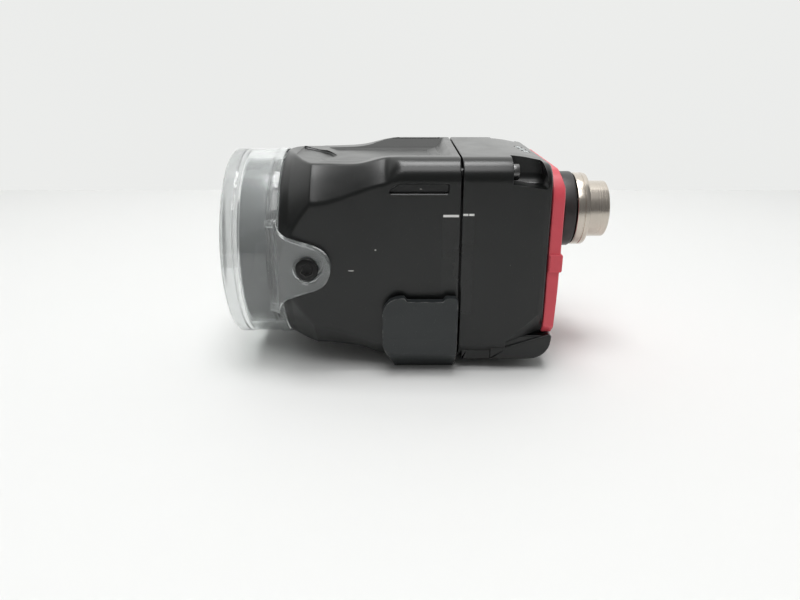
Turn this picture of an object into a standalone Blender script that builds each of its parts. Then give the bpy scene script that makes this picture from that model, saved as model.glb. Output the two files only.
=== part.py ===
import math

import bmesh
import bpy
from mathutils import Matrix

# Lengths are in millimetres here and turned into metres when a mesh is made.
# X runs along the lens axis, lens to the left and plug socket to the right.
# Heights are counted from the lens axis; the shoe's base stands on Z = 0.

MM = 0.001
FIT = 0.3

# body
BODY_HALF_WIDTH = 25.0
BODY_TOP = BODY_HALF_WIDTH + 0.75
BODY_BOTTOM = -BODY_HALF_WIDTH - 0.3
CORNER_RADIUS = 5.4
BODY_WALL = 3.5
CAVITY_HALF_WIDTH = BODY_HALF_WIDTH - BODY_WALL
BODY_SCREW_Y = BODY_HALF_WIDTH - 4.2
BODY_SCREW_TOP = BODY_TOP - 3.5
BODY_SCREW_BOTTOM = BODY_BOTTOM + 3.6
SCREW_WALL = 3.66
CAVITY_RADIUS = math.hypot(BODY_SCREW_Y, BODY_SCREW_BOTTOM) - SCREW_WALL
PARTING_X = 9.3
PARTING_GAP = 0.4

# front housing
SPIGOT_FRONT_X = -37.0
COVER_RADIUS = BODY_HALF_WIDTH
COVER_BORE = COVER_RADIUS - 2.5
SPIGOT_RADIUS = COVER_BORE - 0.4
SPIGOT_BORE = SPIGOT_RADIUS - 1.7
COLLAR_FRONT_X = -34.2
COLLAR_FRONT_RADIUS = COVER_RADIUS - 0.1
COLLAR_REAR_X = -31.9
COLLAR_REAR_RADIUS = COVER_RADIUS + 0.9
CONE_REAR_X = -26.4
CONE_REAR_RADIUS = BODY_HALF_WIDTH + 4.3
FLARE_END_X = -5.0
FLARE_END_RADIUS = BODY_HALF_WIDTH + 7.4
SHOULDER_X = -4.5
SHOULDER_RADIUS = BODY_HALF_WIDTH + 9.0
FRONT_TOP_DROP = 1.95
PARTITION_FRONT_X = -25.7
PARTITION_REAR_X = -23.9
PARTITION_BORE = 9.0
SEAL_GROOVE_X = -35.9
SEAL_GROOVE_RADIUS = SPIGOT_RADIUS - 1.2
SEAL_WIRE = 0.55
SLOT_DEPTH = 1.4
SLOT_TOP = BODY_HALF_WIDTH - 4.95
SLOT_HEIGHT = 2.2
SCOOP_X = -30.4
SCOOP_RADIUS = 8.6
PANEL_FLOOR = BODY_TOP - 2.55
PANEL_HALF_WIDTH = 11.2

# clear front cover
COVER_FRONT_X = -48.7
COVER_REAR_X = COLLAR_FRONT_X - FIT
COVER_WINDOW_REAR_X = -44.8
COVER_RIDGE_X = -37.1
EAR_SCREW_X = -27.3
EAR_RADIUS = 5.6
EAR_FILLET = 4.2
EAR_NECK = 1.5
EAR_FACE = BODY_HALF_WIDTH + 2.6
EAR_COUNTERBORE = 3.4
EAR_COUNTERBORE_FLOOR = EAR_FACE - 1.7

# screws
COVER_SCREW_HEAD = 2.75
COVER_SCREW_SHANK = 1.5
COVER_SCREW_TIP = BODY_HALF_WIDTH - 3.4
COVER_SCREW_HEX = 2.5
BODY_SCREW_SHANK = 1.0
BODY_SCREW_HEAD = 1.9
BODY_SCREW_HEAD_LENGTH = 1.5
BODY_SCREW_HEX = 1.5
BODY_SCREW_TIP_X = 2.5
BOSS_END_X = 21.3
SHOE_SCREW_Y = 12.0
SHOE_SCREW_HEAD = 2.9
SHOE_SCREW_SHANK = 1.5
SHOE_SCREW_TIP = BODY_BOTTOM + 5.3
SHOE_SCREW_HEX = 2.0

# rear housing
REAR_WALL_X = 30.7
REAR_WALL_FRONT_X = 28.3
LUMP_HALF_WIDTH = BODY_HALF_WIDTH - 3.0
LUMP_REAR_X = 33.6
LUMP_RADIUS = 6.0
LUMP_TOP = BODY_BOTTOM + 6.7
LUMP_DROP = 0.02
BODY_SEAL_HALF = BODY_HALF_WIDTH - 1.15
BODY_SEAL_RADIUS = CAVITY_RADIUS + 1.0
BODY_SEAL_WIDTH = 0.3
TROUGH_FLOOR = BODY_SCREW_TOP - 2.25
TROUGH_SIDE = BODY_SCREW_Y - 3.4

# red rear cover and its boss
PLATE_FRONT_X = REAR_WALL_X + FIT
PLATE_REAR_X = 34.0
PLATE_HALF_WIDTH = BODY_HALF_WIDTH - 1.0
PLATE_TOP = BODY_TOP - 3.15
PLATE_BOTTOM = LUMP_TOP + FIT
BOSS_REAR_X = 37.25
BOSS_RADIUS = 10.25

# plug socket
SOCKET_Z = PLATE_TOP - 13.6
NECK_RADIUS = 7.6
BASE_RADIUS = 10.0
BASE_FRONT_X = BOSS_REAR_X + FIT
BASE_REAR_X = 40.8
FLANGE_RADIUS = 9.65
FLANGE_REAR_X = 44.55
SLEEVE_RADIUS = 7.5
SLEEVE_END_X = 50.1
SLEEVE_BORE = 5.9
INSERT_FACE_X = 44.6
NUT_RADIUS = 10.6

# optics and light
LENS_FRONT_X = -40.0
LENS_RADIUS = 8.6
LENS_BORE = 7.0
LENS_REAR_X = -14.0
LIGHT_BOARD_X = -31.0
LIGHT_BOARD_THICKNESS = 1.2
SHROUD_FRONT_X = -44.2
SHROUD_FLOOR_X = -38.6
LIGHT_COUNT = 8
LIGHT_CIRCLE = SPIGOT_BORE - 5.8

# circuit boards
BOARD_HALF = CAVITY_HALF_WIDTH - 3.5
BOARD_RADIUS = CAVITY_RADIUS - 2.6
HOLDER_HALF = 9.8
BOARD_THICKNESS = 1.4
SENSOR_BOARD_X = -6.7
MAIN_BOARD_X = 1.0
POWER_BOARD_X = 14.0
POST_OFFSET = BOARD_HALF - 2.5
POST_RADIUS = 1.8

# shoe
SHOE_FRONT_X = -9.3
SHOE_REAR_X = 9.1
SHOE_SIDE_GAP = 0.9
SHOE_WALL = 2.1
SHOE_HALF_WIDTH = BODY_HALF_WIDTH + SHOE_SIDE_GAP + SHOE_WALL
SHOE_CORNER = 4.4
SHOE_TOP = -7.0
SHOE_NOTCH_FLOOR = -7.9
SHOE_BEND_Z = BODY_BOTTOM + 7.3
SHOE_BEND_Y = SHOE_HALF_WIDTH - 8.5
SHOE_GAP = 0.4
SHOE_PLATE = 2.3
SHOE_PLATE_TOP = BODY_BOTTOM - SHOE_GAP
AXIS_HEIGHT = SHOE_PLATE - SHOE_PLATE_TOP

LIFT = Matrix.Translation((0, 0, AXIS_HEIGHT * MM)) @ Matrix.Scale(MM, 4)
PLANE_AXES = {
    "X": Matrix(((0, 0, 1, 0), (1, 0, 0, 0), (0, 1, 0, 0), (0, 0, 0, 1))),
    "Y": Matrix(((1, 0, 0, 0), (0, 0, -1, 0), (0, 1, 0, 0), (0, 0, 0, 1))),
    "Z": Matrix.Identity(4),
}


def clear_scene():
    for thing in list(bpy.data.objects):
        bpy.data.objects.remove(thing, do_unlink=True)


def new_collection(name):
    group = bpy.data.collections.new(name)
    bpy.context.scene.collection.children.link(group)
    return group


clear_scene()
parts = new_collection("machine vision camera")
tools = new_collection("cutters")


def new_material(name, color, roughness, metallic=0.0, alpha=1.0):
    material = bpy.data.materials.new(name)
    material.use_nodes = True
    shader = material.node_tree.nodes["Principled BSDF"]
    shader.inputs["Base Color"].default_value = (*color, 1.0)
    shader.inputs["Roughness"].default_value = roughness
    shader.inputs["Metallic"].default_value = metallic
    shader.inputs["Alpha"].default_value = alpha
    return material


def add_object(name, mesh, group):
    thing = bpy.data.objects.new(name, mesh)
    group.objects.link(thing)
    return thing


def evaluated_mesh(thing):
    bpy.context.view_layer.update()
    graph = bpy.context.evaluated_depsgraph_get()
    return bpy.data.meshes.new_from_object(thing.evaluated_get(graph))


def finish_mesh(mesh, matrix):
    soup = bmesh.new()
    soup.from_mesh(mesh)
    bmesh.ops.remove_doubles(soup, verts=soup.verts, dist=0.0001)
    bmesh.ops.transform(soup, matrix=matrix, verts=soup.verts)
    bmesh.ops.recalc_face_normals(soup, faces=soup.faces)
    soup.to_mesh(mesh)
    soup.free()
    mesh.shade_smooth()
    mesh.set_sharp_from_angle(angle=math.radians(30))


def slab(name, outline, axis, start, end):
    # outline is (y, z) along X, (x, z) along Y or (x, y) along Z.
    curve = bpy.data.curves.new(name, "CURVE")
    curve.dimensions = "2D"
    curve.fill_mode = "BOTH"
    curve.extrude = (end - start) / 2
    spline = curve.splines.new("POLY")
    spline.points.add(len(outline) - 1)
    for point, (across, up) in zip(spline.points, outline):
        point.co = (across, up, 0, 1)
    spline.use_cyclic_u = True
    holder = add_object(name + " outline", curve, tools)
    mesh = evaluated_mesh(holder)
    bpy.data.objects.remove(holder, do_unlink=True)
    middle = (start + end) / 2
    if axis == "Y":
        middle = -middle
    move = Matrix.Translation((0, 0, middle))
    finish_mesh(mesh, LIFT @ PLANE_AXES[axis] @ move)
    return add_object(name, mesh, tools)


def turned(name, profile, steps=64, axis="X", centre=(0, 0, 0), turn=0.0):
    # profile is (along, radius), the outer side running from high to low.
    mesh = bpy.data.meshes.new(name)
    points = [(radius, 0, along) for along, radius in profile]
    edges = [(i, i + 1) for i in range(len(points) - 1)]
    if profile[0][1] > 0 or profile[-1][1] > 0:
        edges.append((len(points) - 1, 0))
    mesh.from_pydata(points, edges, [])
    holder = add_object(name + " profile", mesh, tools)
    screw = holder.modifiers.new("turn", "SCREW")
    screw.steps = steps
    screw.render_steps = steps
    screw.use_merge_vertices = True
    screw.merge_threshold = 0.0001
    result = evaluated_mesh(holder)
    bpy.data.objects.remove(holder, do_unlink=True)
    swing = Matrix.Rotation(turn, 4, "Z")
    lean = {
        "X": Matrix.Rotation(math.pi / 2, 4, "Y"),
        "-X": Matrix.Rotation(-math.pi / 2, 4, "Y"),
        "Y": Matrix.Rotation(-math.pi / 2, 4, "X"),
        "-Y": Matrix.Rotation(math.pi / 2, 4, "X"),
        "Z": Matrix.Identity(4),
        "-Z": Matrix.Rotation(math.pi, 4, "X"),
    }[axis]
    finish_mesh(result, LIFT @ Matrix.Translation(centre) @ lean @ swing)
    return add_object(name, result, tools)


def rod(name, radius, start, end, steps=24, axis="X", centre=(0, 0, 0), turn=0.0):
    profile = [(end, 0), (end, radius), (start, radius), (start, 0)]
    return turned(name, profile, steps, axis, centre, turn)


def block(name, low, high):
    outline = [(low[1], low[2]), (high[1], low[2]), (high[1], high[2]), (low[1], high[2])]
    return slab(name, outline, "X", low[0], high[0])


def combine(target, other, operation):
    step = target.modifiers.new(other.name, "BOOLEAN")
    step.operation = operation
    step.solver = "EXACT"
    step.object = other
    other.hide_render = True
    other.display_type = "WIRE"


def cut(target, other):
    combine(target, other, "DIFFERENCE")


def join(target, other):
    combine(target, other, "UNION")


def keep_common(target, other):
    combine(target, other, "INTERSECT")


def as_part(thing, material):
    tools.objects.unlink(thing)
    parts.objects.link(thing)
    thing.data.materials.clear()
    thing.data.materials.append(material)
    return thing


def arc(centre, radius, start, end, steps):
    # Points of an arc, angles in degrees.
    points = []
    for i in range(steps + 1):
        angle = math.radians(start + (end - start) * i / steps)
        points.append((centre[0] + radius * math.cos(angle), centre[1] + radius * math.sin(angle)))
    return points


def square_in_circle(half, radius, steps=5):
    # A square of the given half width with its corners rounded by a circle.
    near = math.degrees(math.acos(min(1.0, half / radius)))
    far = 90 - near
    points = []
    for quarter in range(4):
        points += arc((0, 0), radius, quarter * 90 + near, quarter * 90 + far, steps)
    return points


def body_section():
    # Both housings seen from behind.
    y = BODY_HALF_WIDTH - CORNER_RADIUS
    top = BODY_TOP - CORNER_RADIUS
    bottom = BODY_BOTTOM + CORNER_RADIUS
    upper = arc((y, top), CORNER_RADIUS, 0, 90, 6) + arc((-y, top), CORNER_RADIUS, 90, 180, 6)
    lower = arc((-y, bottom), CORNER_RADIUS, 180, 270, 4) + arc((y, bottom), CORNER_RADIUS, 270, 360, 4)
    return upper + lower


def hexagon(across_flats):
    return across_flats / math.sqrt(3)


def eased(share):
    return share * share * (3 - 2 * share)


black_paint = new_material("body_paint", (0.035, 0.038, 0.037), 0.42)
rear_paint = new_material("rear_body_paint", (0.033, 0.036, 0.035), 0.42)
clear_plastic = new_material("clear_cover", (0.85, 0.87, 0.86), 0.12, 0.0, 0.35)
dark_screw = new_material("screw_black", (0.03, 0.03, 0.03), 0.3, 0.9)
steel_screw = new_material("screw_steel", (0.55, 0.55, 0.54), 0.3, 1.0)
seal_rubber = new_material("seal_rubber", (0.02, 0.02, 0.02), 0.8)
red_plastic = new_material("red_plastic", (0.6, 0.02, 0.06), 0.45)
base_plastic = new_material("base_plastic", (0.03, 0.03, 0.03), 0.5)
nickel = new_material("nickel", (0.63, 0.58, 0.52), 0.28, 1.0)
insert_plastic = new_material("insert_plastic", (0.02, 0.02, 0.022), 0.55)
shoe_paint = new_material("shoe_paint", (0.05, 0.054, 0.056), 0.5)
lens_black = new_material("lens_black", (0.02, 0.02, 0.02), 0.35, 0.6)
lens_glass = new_material("lens_glass", (0.75, 0.82, 0.9), 0.05, 0.0, 0.35)
shroud_grey = new_material("shroud_grey", (0.3, 0.31, 0.32), 0.5)
board_green = new_material("board_green", (0.02, 0.12, 0.06), 0.5)
light_white = new_material("light_white", (0.9, 0.9, 0.85), 0.4)
chip_black = new_material("chip_black", (0.02, 0.02, 0.022), 0.4)
post_brass = new_material("post_brass", (0.6, 0.45, 0.2), 0.35, 1.0)
window_plastic = new_material("window_plastic", (0.5, 0.55, 0.55), 0.3, 0.0, 0.6)


def flare_profile():
    # Outer radius of the front housing from the parting line to the spigot.
    points = [(PARTING_X + 1, 0), (PARTING_X + 1, SHOULDER_RADIUS), (SHOULDER_X, SHOULDER_RADIUS)]
    count = 7
    for i in range(1, count + 1):
        share = i / count
        x = FLARE_END_X + (CONE_REAR_X - FLARE_END_X) * share
        rise = 1 - eased(share)
        radius = CONE_REAR_RADIUS + (FLARE_END_RADIUS - CONE_REAR_RADIUS) * rise
        points.append((x, radius))
    points += [
        (COLLAR_REAR_X, COLLAR_REAR_RADIUS),
        (COLLAR_FRONT_X, COLLAR_FRONT_RADIUS),
        (COLLAR_FRONT_X, SPIGOT_RADIUS),
        (SEAL_GROOVE_X + 0.85, SPIGOT_RADIUS),
        (SEAL_GROOVE_X + 0.85, SEAL_GROOVE_RADIUS),
        (SEAL_GROOVE_X - 0.85, SEAL_GROOVE_RADIUS),
        (SEAL_GROOVE_X - 0.85, SPIGOT_RADIUS),
        (SPIGOT_FRONT_X, SPIGOT_RADIUS),
        (SPIGOT_FRONT_X, 0),
    ]
    return points


def front_top_line():
    # Top edge of the front housing seen from the side.
    start = BODY_TOP + 0.1
    points = [(PARTING_X, start)]
    for i in range(7):
        share = i / 6
        x = FLARE_END_X - 1 + (-16.5 - FLARE_END_X) * share
        points.append((x, start - (FRONT_TOP_DROP + 0.1) * eased(share)))
    points += [(CONE_REAR_X, BODY_TOP - 2.05), (CONE_REAR_X - 2.1, BODY_TOP - 1.85)]
    points += [(COLLAR_REAR_X, BODY_TOP - 0.85), (COLLAR_FRONT_X - 0.4, BODY_TOP - 0.75)]
    return points


def make_front_housing():
    front = SPIGOT_FRONT_X - 1
    outline = [(front, BODY_TOP - 0.75), (front, BODY_BOTTOM - 1), (PARTING_X, BODY_BOTTOM - 1)]
    outline += front_top_line()
    body = slab("front_housing", outline, "Y", -BODY_HALF_WIDTH - 1, BODY_HALF_WIDTH + 1)
    keep_common(body, slab("front section", body_section(), "X", front - 1, PARTING_X + 1))
    keep_common(body, turned("front flare", flare_profile(), 52))
    cavity = square_in_circle(CAVITY_HALF_WIDTH, CAVITY_RADIUS)
    room = slab("front room", cavity, "X", PARTITION_REAR_X, PARTING_X + 2)
    bay = [(-20.0, 0), (-20.0, PARTITION_BORE), (PARTITION_FRONT_X, PARTITION_BORE),
           (PARTITION_FRONT_X, SPIGOT_BORE), (SPIGOT_FRONT_X - 2, SPIGOT_BORE), (SPIGOT_FRONT_X - 2, 0)]
    join(room, turned("light bay", bay, 42))
    cut(body, room)
    for turn in range(4):
        cut(body, side_slot(turn))
    cut(body, top_scoop())
    cut(body, top_panel())
    for side in (-1, 1):
        where = (EAR_SCREW_X, 0, 0)
        depth = COVER_SCREW_TIP - FIT
        cut(body, rod("ear screw hole", COVER_SCREW_SHANK + FIT, depth, EAR_FACE, 20, axis_name(side), where))
        hole = rod("shoe screw hole", SHOE_SCREW_SHANK + FIT, BODY_BOTTOM - 1, SHOE_SCREW_TIP + FIT, 20, "Z",
                   (0, side * SHOE_SCREW_Y, 0))
        boss = rod("shoe screw boss", 3.6, BODY_BOTTOM + 1, SHOE_SCREW_TIP + 1.2, 24, "Z",
                   (0, side * SHOE_SCREW_Y, 0))
        join(body, boss)
        cut(body, hole)
    for y, z in body_screw_places():
        hole = rod("body screw hole", BODY_SCREW_SHANK + FIT, BODY_SCREW_TIP_X - FIT, PARTING_X + 2, 16, "X",
                   (0, y, z))
        cut(body, hole)
    return as_part(body, black_paint)


def axis_name(side):
    return "Y" if side > 0 else "-Y"


def body_screw_places():
    return [(y, z) for y in (-BODY_SCREW_Y, BODY_SCREW_Y) for z in (BODY_SCREW_BOTTOM, BODY_SCREW_TOP)]


def side_slot(turn):
    # Long notch with a slanted front end, one on each face of the body.
    depth = (BODY_HALF_WIDTH, BODY_TOP, BODY_HALF_WIDTH, -BODY_BOTTOM)[turn] - SLOT_DEPTH
    low = SLOT_TOP - SLOT_HEIGHT
    outline = [(-8.3, low), (6.0, low), (6.5, low + 0.5), (6.5, SLOT_TOP - 0.5), (6.0, SLOT_TOP), (-5.2, SLOT_TOP)]
    tool = slab("side slot", outline, "Y", -BODY_HALF_WIDTH - 3, -depth)
    middle = Matrix.Translation((0, 0, AXIS_HEIGHT * MM))
    swing = middle @ Matrix.Rotation(-turn * math.pi / 2, 4, "X") @ middle.inverted()
    tool.data.transform(swing)
    return tool


def top_scoop():
    # Thumb-shaped hollow behind the collar, its floor falling to the rear.
    high = BODY_TOP + 3
    scoop = slab("top scoop", arc((SCOOP_X, 0), SCOOP_RADIUS, -94, 94, 18), "Z", BODY_TOP - 8, high)
    floor = [(-33.0, BODY_TOP - 1.45), (-21.0, BODY_TOP - 3.45), (-21.0, high + 1), (-33.0, high + 1)]
    keep_common(scoop, slab("scoop floor", floor, "Y", -12, 12))
    return scoop


def top_panel():
    # Long field sunk between two shoulders that lean inwards, with a ramp at its rear end.
    half = [(PANEL_HALF_WIDTH, PANEL_FLOOR), (PANEL_HALF_WIDTH + 1.8, PANEL_FLOOR + 0.75)]
    half += [(PANEL_HALF_WIDTH + 8.2, BODY_TOP + 0.45)]
    section = half + [(-y, z) for y, z in reversed(half)]
    panel = slab("top panel", section, "X", -26, 9)
    run = [(-24.6, PANEL_FLOOR - 1), (3.0, PANEL_FLOOR - 1), (3.0, PANEL_FLOOR + 0.02)]
    run += [(5.4, PANEL_FLOOR + 0.7), (8.0, BODY_TOP + 0.55), (-24.6, BODY_TOP + 0.55)]
    keep_common(panel, slab("top panel run", run, "Y", -30, 30))
    return panel


def ear_outline():
    # Ear seen from the side: a disc on a straight neck that flares into the cover's rear edge.
    gap = EAR_RADIUS + EAR_FILLET
    rise = gap + EAR_NECK
    fillet_x = COVER_REAR_X + EAR_FILLET
    run = EAR_SCREW_X - fillet_x
    meet = math.degrees(math.atan2(rise, -run) - math.acos(gap / math.hypot(rise, run)))
    upper = arc((fillet_x, rise), EAR_FILLET, 180, 180 + meet, 6)
    tip = arc((EAR_SCREW_X, 0), EAR_RADIUS, meet, -meet, 16)
    lower = arc((fillet_x, -rise), EAR_FILLET, 180 - meet, 180, 6)
    corner = [(COVER_RIDGE_X, -rise), (COVER_RIDGE_X, rise)]
    return corner + upper + tip + lower


def make_ear(side):
    outer = side * (EAR_FACE + 2)
    inner = COVER_BORE + 0.7
    ear = slab("ear", ear_outline(), "Y", min(0, outer), max(0, outer))
    lean = [(COVER_RIDGE_X, COVER_RADIUS + 0.1), (-35.6, EAR_FACE - 1.3), (-33.9, EAR_FACE - 0.4)]
    lean += [(-32.0, EAR_FACE), (-20, EAR_FACE), (-20, BODY_HALF_WIDTH + FIT)]
    lean += [(COVER_REAR_X - 0.2, BODY_HALF_WIDTH + FIT), (COVER_REAR_X - 0.2, inner), (COVER_RIDGE_X, inner)]
    lean = [(x, side * y) for x, y in lean]
    keep_common(ear, slab("ear lean", lean, "Z", -15, 15))
    crown = [(-4.7, 9.7), (-3.3, 9.0), (-1.9, 8.0), (-0.8, 6.9), (-0.2, 5.9), (0.2, 5.0)]
    section = crown + [(y, -z) for y, z in reversed(crown)] + [(-4.9, -10.6), (-4.9, 10.6)]
    section = [(side * (EAR_FACE + y), z) for y, z in section]
    keep_common(ear, slab("ear crown", section, "X", -40, -15))
    return ear


def make_front_cover():
    profile = [
        (COVER_WINDOW_REAR_X, 0),
        (COVER_WINDOW_REAR_X, COVER_BORE - 0.8),
        (COVER_WINDOW_REAR_X + 0.8, COVER_BORE),
        (COVER_REAR_X, COVER_BORE),
        (COVER_REAR_X, COVER_RADIUS + 0.1),
        (COVER_RIDGE_X, COVER_RADIUS + 0.1),
        (COVER_RIDGE_X - 0.4, COVER_RADIUS - 0.2),
        (COVER_FRONT_X + 3.6, COVER_RADIUS - 0.2),
        (COVER_FRONT_X + 3.2, COVER_RADIUS),
        (COVER_FRONT_X + 1.0, COVER_RADIUS),
        (COVER_FRONT_X + 0.2, COVER_RADIUS - 0.5),
        (COVER_FRONT_X, COVER_RADIUS - 1.2),
        (COVER_FRONT_X, COVER_RADIUS - 2.2),
        (COVER_FRONT_X + 0.4, COVER_RADIUS - 2.6),
        (COVER_FRONT_X + 0.4, 0),
    ]
    cover = turned("front_cover", profile, 48)
    for side in (-1, 1):
        join(cover, make_ear(side))
        where = (EAR_SCREW_X, 0, 0)
        axis = axis_name(side)
        cut(cover, rod("ear counterbore", EAR_COUNTERBORE, EAR_COUNTERBORE_FLOOR, EAR_FACE + 2, 24, axis, where))
        cut(cover, rod("ear hole", COVER_SCREW_SHANK + FIT, COVER_BORE + 1.5, EAR_FACE, 16, axis, where))
    return as_part(cover, clear_plastic)


def cap_screw(name, material, head, head_length, shank, tip, hexagon_size, axis, centre):
    # Cap screw with its head's underside at 0 and its top facing along axis.
    profile = [
        (head_length, 0),
        (head_length, head - 0.2),
        (head_length - 0.2, head),
        (0, head),
        (0, shank),
        (tip + 0.4, shank),
        (tip, shank - 0.4),
        (tip, 0),
    ]
    screw = turned(name, profile, 12, axis, centre)
    socket = rod("hex socket", hexagon(hexagon_size), head_length * 0.35, head_length + 1, 6, axis, centre)
    cut(screw, socket)
    return as_part(screw, material)


def make_screws():
    seat = EAR_COUNTERBORE_FLOOR + FIT
    for name, side in (("cover_screw_near", -1), ("cover_screw_far", 1)):
        cap_screw(name, dark_screw, COVER_SCREW_HEAD, EAR_FACE - seat, COVER_SCREW_SHANK,
                  COVER_SCREW_TIP - seat, COVER_SCREW_HEX, axis_name(side), (EAR_SCREW_X, side * seat, 0))
    seat = BOSS_END_X + FIT
    for number, (y, z) in enumerate(body_screw_places(), 1):
        cap_screw(f"body_screw_{number}", steel_screw, BODY_SCREW_HEAD, BODY_SCREW_HEAD_LENGTH,
                  BODY_SCREW_SHANK, BODY_SCREW_TIP_X - seat, BODY_SCREW_HEX, "X", (seat, y, z))
    for number, side in enumerate((-1, 1), 1):
        profile = [
            (1.9, 0),
            (1.9, SHOE_SCREW_HEAD),
            (1.6, SHOE_SCREW_HEAD),
            (0.2, SHOE_SCREW_SHANK),
            (-5.3, SHOE_SCREW_SHANK),
            (-5.8, SHOE_SCREW_SHANK - 0.4),
            (-5.8, 0),
        ]
        centre = (0, side * SHOE_SCREW_Y, SHOE_SCREW_TIP - 5.8)
        screw = turned(f"shoe_screw_{number}", profile, 12, "-Z", centre)
        cut(screw, rod("hex socket", hexagon(SHOE_SCREW_HEX), 0.9, 3, 6, "-Z", centre))
        as_part(screw, dark_screw)


def ring(name, middle_radius, wire_radius, x, steps=32, sides=6, z=0.0):
    profile = arc((x, middle_radius), wire_radius, 90, 450, sides)[:-1]
    return turned(name, profile, steps, "X", (0, 0, z))


def make_seals():
    groove_middle = (SEAL_GROOVE_RADIUS + COVER_BORE) / 2
    as_part(ring("cover_seal", groove_middle, SEAL_WIRE - 0.05, SEAL_GROOVE_X), seal_rubber)
    start = PARTING_X + PARTING_GAP
    seal = slab("body_seal", seal_line(BODY_SEAL_WIDTH), "X", start - 0.1, start + 0.8)
    cut(seal, slab("body seal inside", seal_line(-BODY_SEAL_WIDTH), "X", start - 1, start + 2))
    as_part(seal, seal_rubber)


def seal_line(offset):
    # Path of the seal between the two housings, moved outwards by the offset.
    return square_in_circle(BODY_SEAL_HALF + offset, BODY_SEAL_RADIUS + offset)


def rear_side_outline():
    # Rear housing seen from the side, without the lower rear lump.
    start = PARTING_X + PARTING_GAP
    top = [(21.0, BODY_TOP + 0.1), (24.5, BODY_TOP - 0.35), (27.0, BODY_TOP - 0.85)]
    top += [(29.0, BODY_TOP - 1.25), (REAR_WALL_X, BODY_TOP - 1.55)]
    corner = [(REAR_WALL_X, BODY_BOTTOM + 6.3), (25.0, BODY_BOTTOM - 1)]
    return [(start, BODY_BOTTOM - 1), (start, BODY_TOP + 0.1)] + top + corner


def make_rear_housing():
    start = PARTING_X + PARTING_GAP
    body = slab("rear_housing", rear_side_outline(), "Y", -BODY_HALF_WIDTH - 1, BODY_HALF_WIDTH + 1)
    keep_common(body, slab("rear section", body_section(), "X", 0, 45))
    base = BODY_BOTTOM + LUMP_DROP
    lump = [(20.0, base), (LUMP_REAR_X - LUMP_RADIUS, base)]
    lump += arc((LUMP_REAR_X - LUMP_RADIUS, base + LUMP_RADIUS), LUMP_RADIUS, -90, 0, 8)[1:]
    lump += [(LUMP_REAR_X, LUMP_TOP), (20.0, LUMP_TOP)]
    cut(body, lower_corner_cut(-1))
    cut(body, lower_corner_cut(1))
    join(body, slab("rear lump", lump, "Y", -LUMP_HALF_WIDTH, LUMP_HALF_WIDTH))
    cavity = square_in_circle(CAVITY_HALF_WIDTH, CAVITY_RADIUS)
    cut(body, slab("rear cavity", cavity, "X", start - 2, BOSS_END_X - 1))
    cut(body, slab("rear bay", bay_outline(), "X", BOSS_END_X - 2, REAR_WALL_FRONT_X))
    groove = slab("seal groove", seal_line(BODY_SEAL_WIDTH + FIT), "X", start - 1, start + 1.1)
    cut(groove, slab("seal groove inside", seal_line(-BODY_SEAL_WIDTH - FIT), "X", start - 2, start + 3))
    cut(body, groove)
    for y, z in body_screw_places():
        cut(body, rod("screw hole", BODY_SCREW_SHANK + FIT, start - 2, 40, 16, "X", (0, y, z)))
        if z < 0:
            cut(body, rod("screw tunnel", BODY_SCREW_HEAD + 0.5, BOSS_END_X, 40, 20, "X", (0, y, z)))
    for side in (-1, 1):
        cut(body, corner_trough(side))
    cut(body, rod("neck hole", NECK_RADIUS + FIT, 25, 40, 38, "X", (0, 0, SOCKET_Z)))
    for place in window_places():
        cut(body, rod("window hole", 1.3, CAVITY_HALF_WIDTH - 2, BODY_TOP + 1, 16, "Z", (*place, 0)))
    return as_part(body, rear_paint)


def bay_outline():
    return square_in_circle(CAVITY_HALF_WIDTH - 1.0, CAVITY_RADIUS - 2.4)


def lower_corner_cut(side):
    base = BODY_BOTTOM - 4
    outline = [(BOSS_END_X, base), (BOSS_END_X, BODY_BOTTOM + 5.5), (29.8, BODY_BOTTOM + 13.4)]
    outline += [(36.0, BODY_BOTTOM + 21.9), (45.0, BODY_BOTTOM + 21.9), (45.0, base)]
    ends = sorted((side * LUMP_HALF_WIDTH, side * (BODY_HALF_WIDTH + 5)))
    return slab("lower corner", outline, "Y", ends[0], ends[1])


def corner_trough(side):
    # Way in for the tool that turns the upper corner screws, closed behind by a leaning wall.
    floor = TROUGH_FLOOR - 1.3
    inner = arc((TROUGH_SIDE + 3.2, floor + 3.2), 3.2, 270, 180, 5)
    side_end = BODY_HALF_WIDTH + 5
    high = BODY_TOP + 4
    outline = [(side_end, high), (side_end, floor)] + inner + [(TROUGH_SIDE, high)]
    outline = [(side * y, z) for y, z in outline]
    trough = slab("corner trough", outline, "X", BOSS_END_X, 45)
    run = [(BOSS_END_X - 1, TROUGH_FLOOR), (BOSS_END_X, TROUGH_FLOOR), (30.2, floor)]
    run += [(28.8, BODY_TOP - 1.75), (27.2, high), (BOSS_END_X - 1, high)]
    keep_common(trough, slab("trough run", run, "Y", -side_end - 1, side_end + 1))
    return trough


def window_places():
    return [(27.6, -3.6), (27.2, 0.0), (26.8, 3.6)]


def make_windows():
    for number, (x, y) in enumerate(window_places(), 1):
        window = rod(f"status_window_{number}", 1.0, BODY_TOP - 4.15, BODY_TOP - 1.3, 16, "Z", (x, y, 0))
        as_part(window, window_plastic)


def plate_outline():
    # Red rear cover seen from behind: rounded shoulders, straight foot.
    y = PLATE_HALF_WIDTH - 7.0
    z = PLATE_TOP - 7.0
    foot = [(-PLATE_HALF_WIDTH, PLATE_BOTTOM + 2.2), (-PLATE_HALF_WIDTH + 2.2, PLATE_BOTTOM)]
    other_foot = [(-across, up) for across, up in reversed(foot)]
    return other_foot + arc((y, z), 7.0, 0, 90, 7) + arc((-y, z), 7.0, 90, 180, 7) + foot


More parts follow.
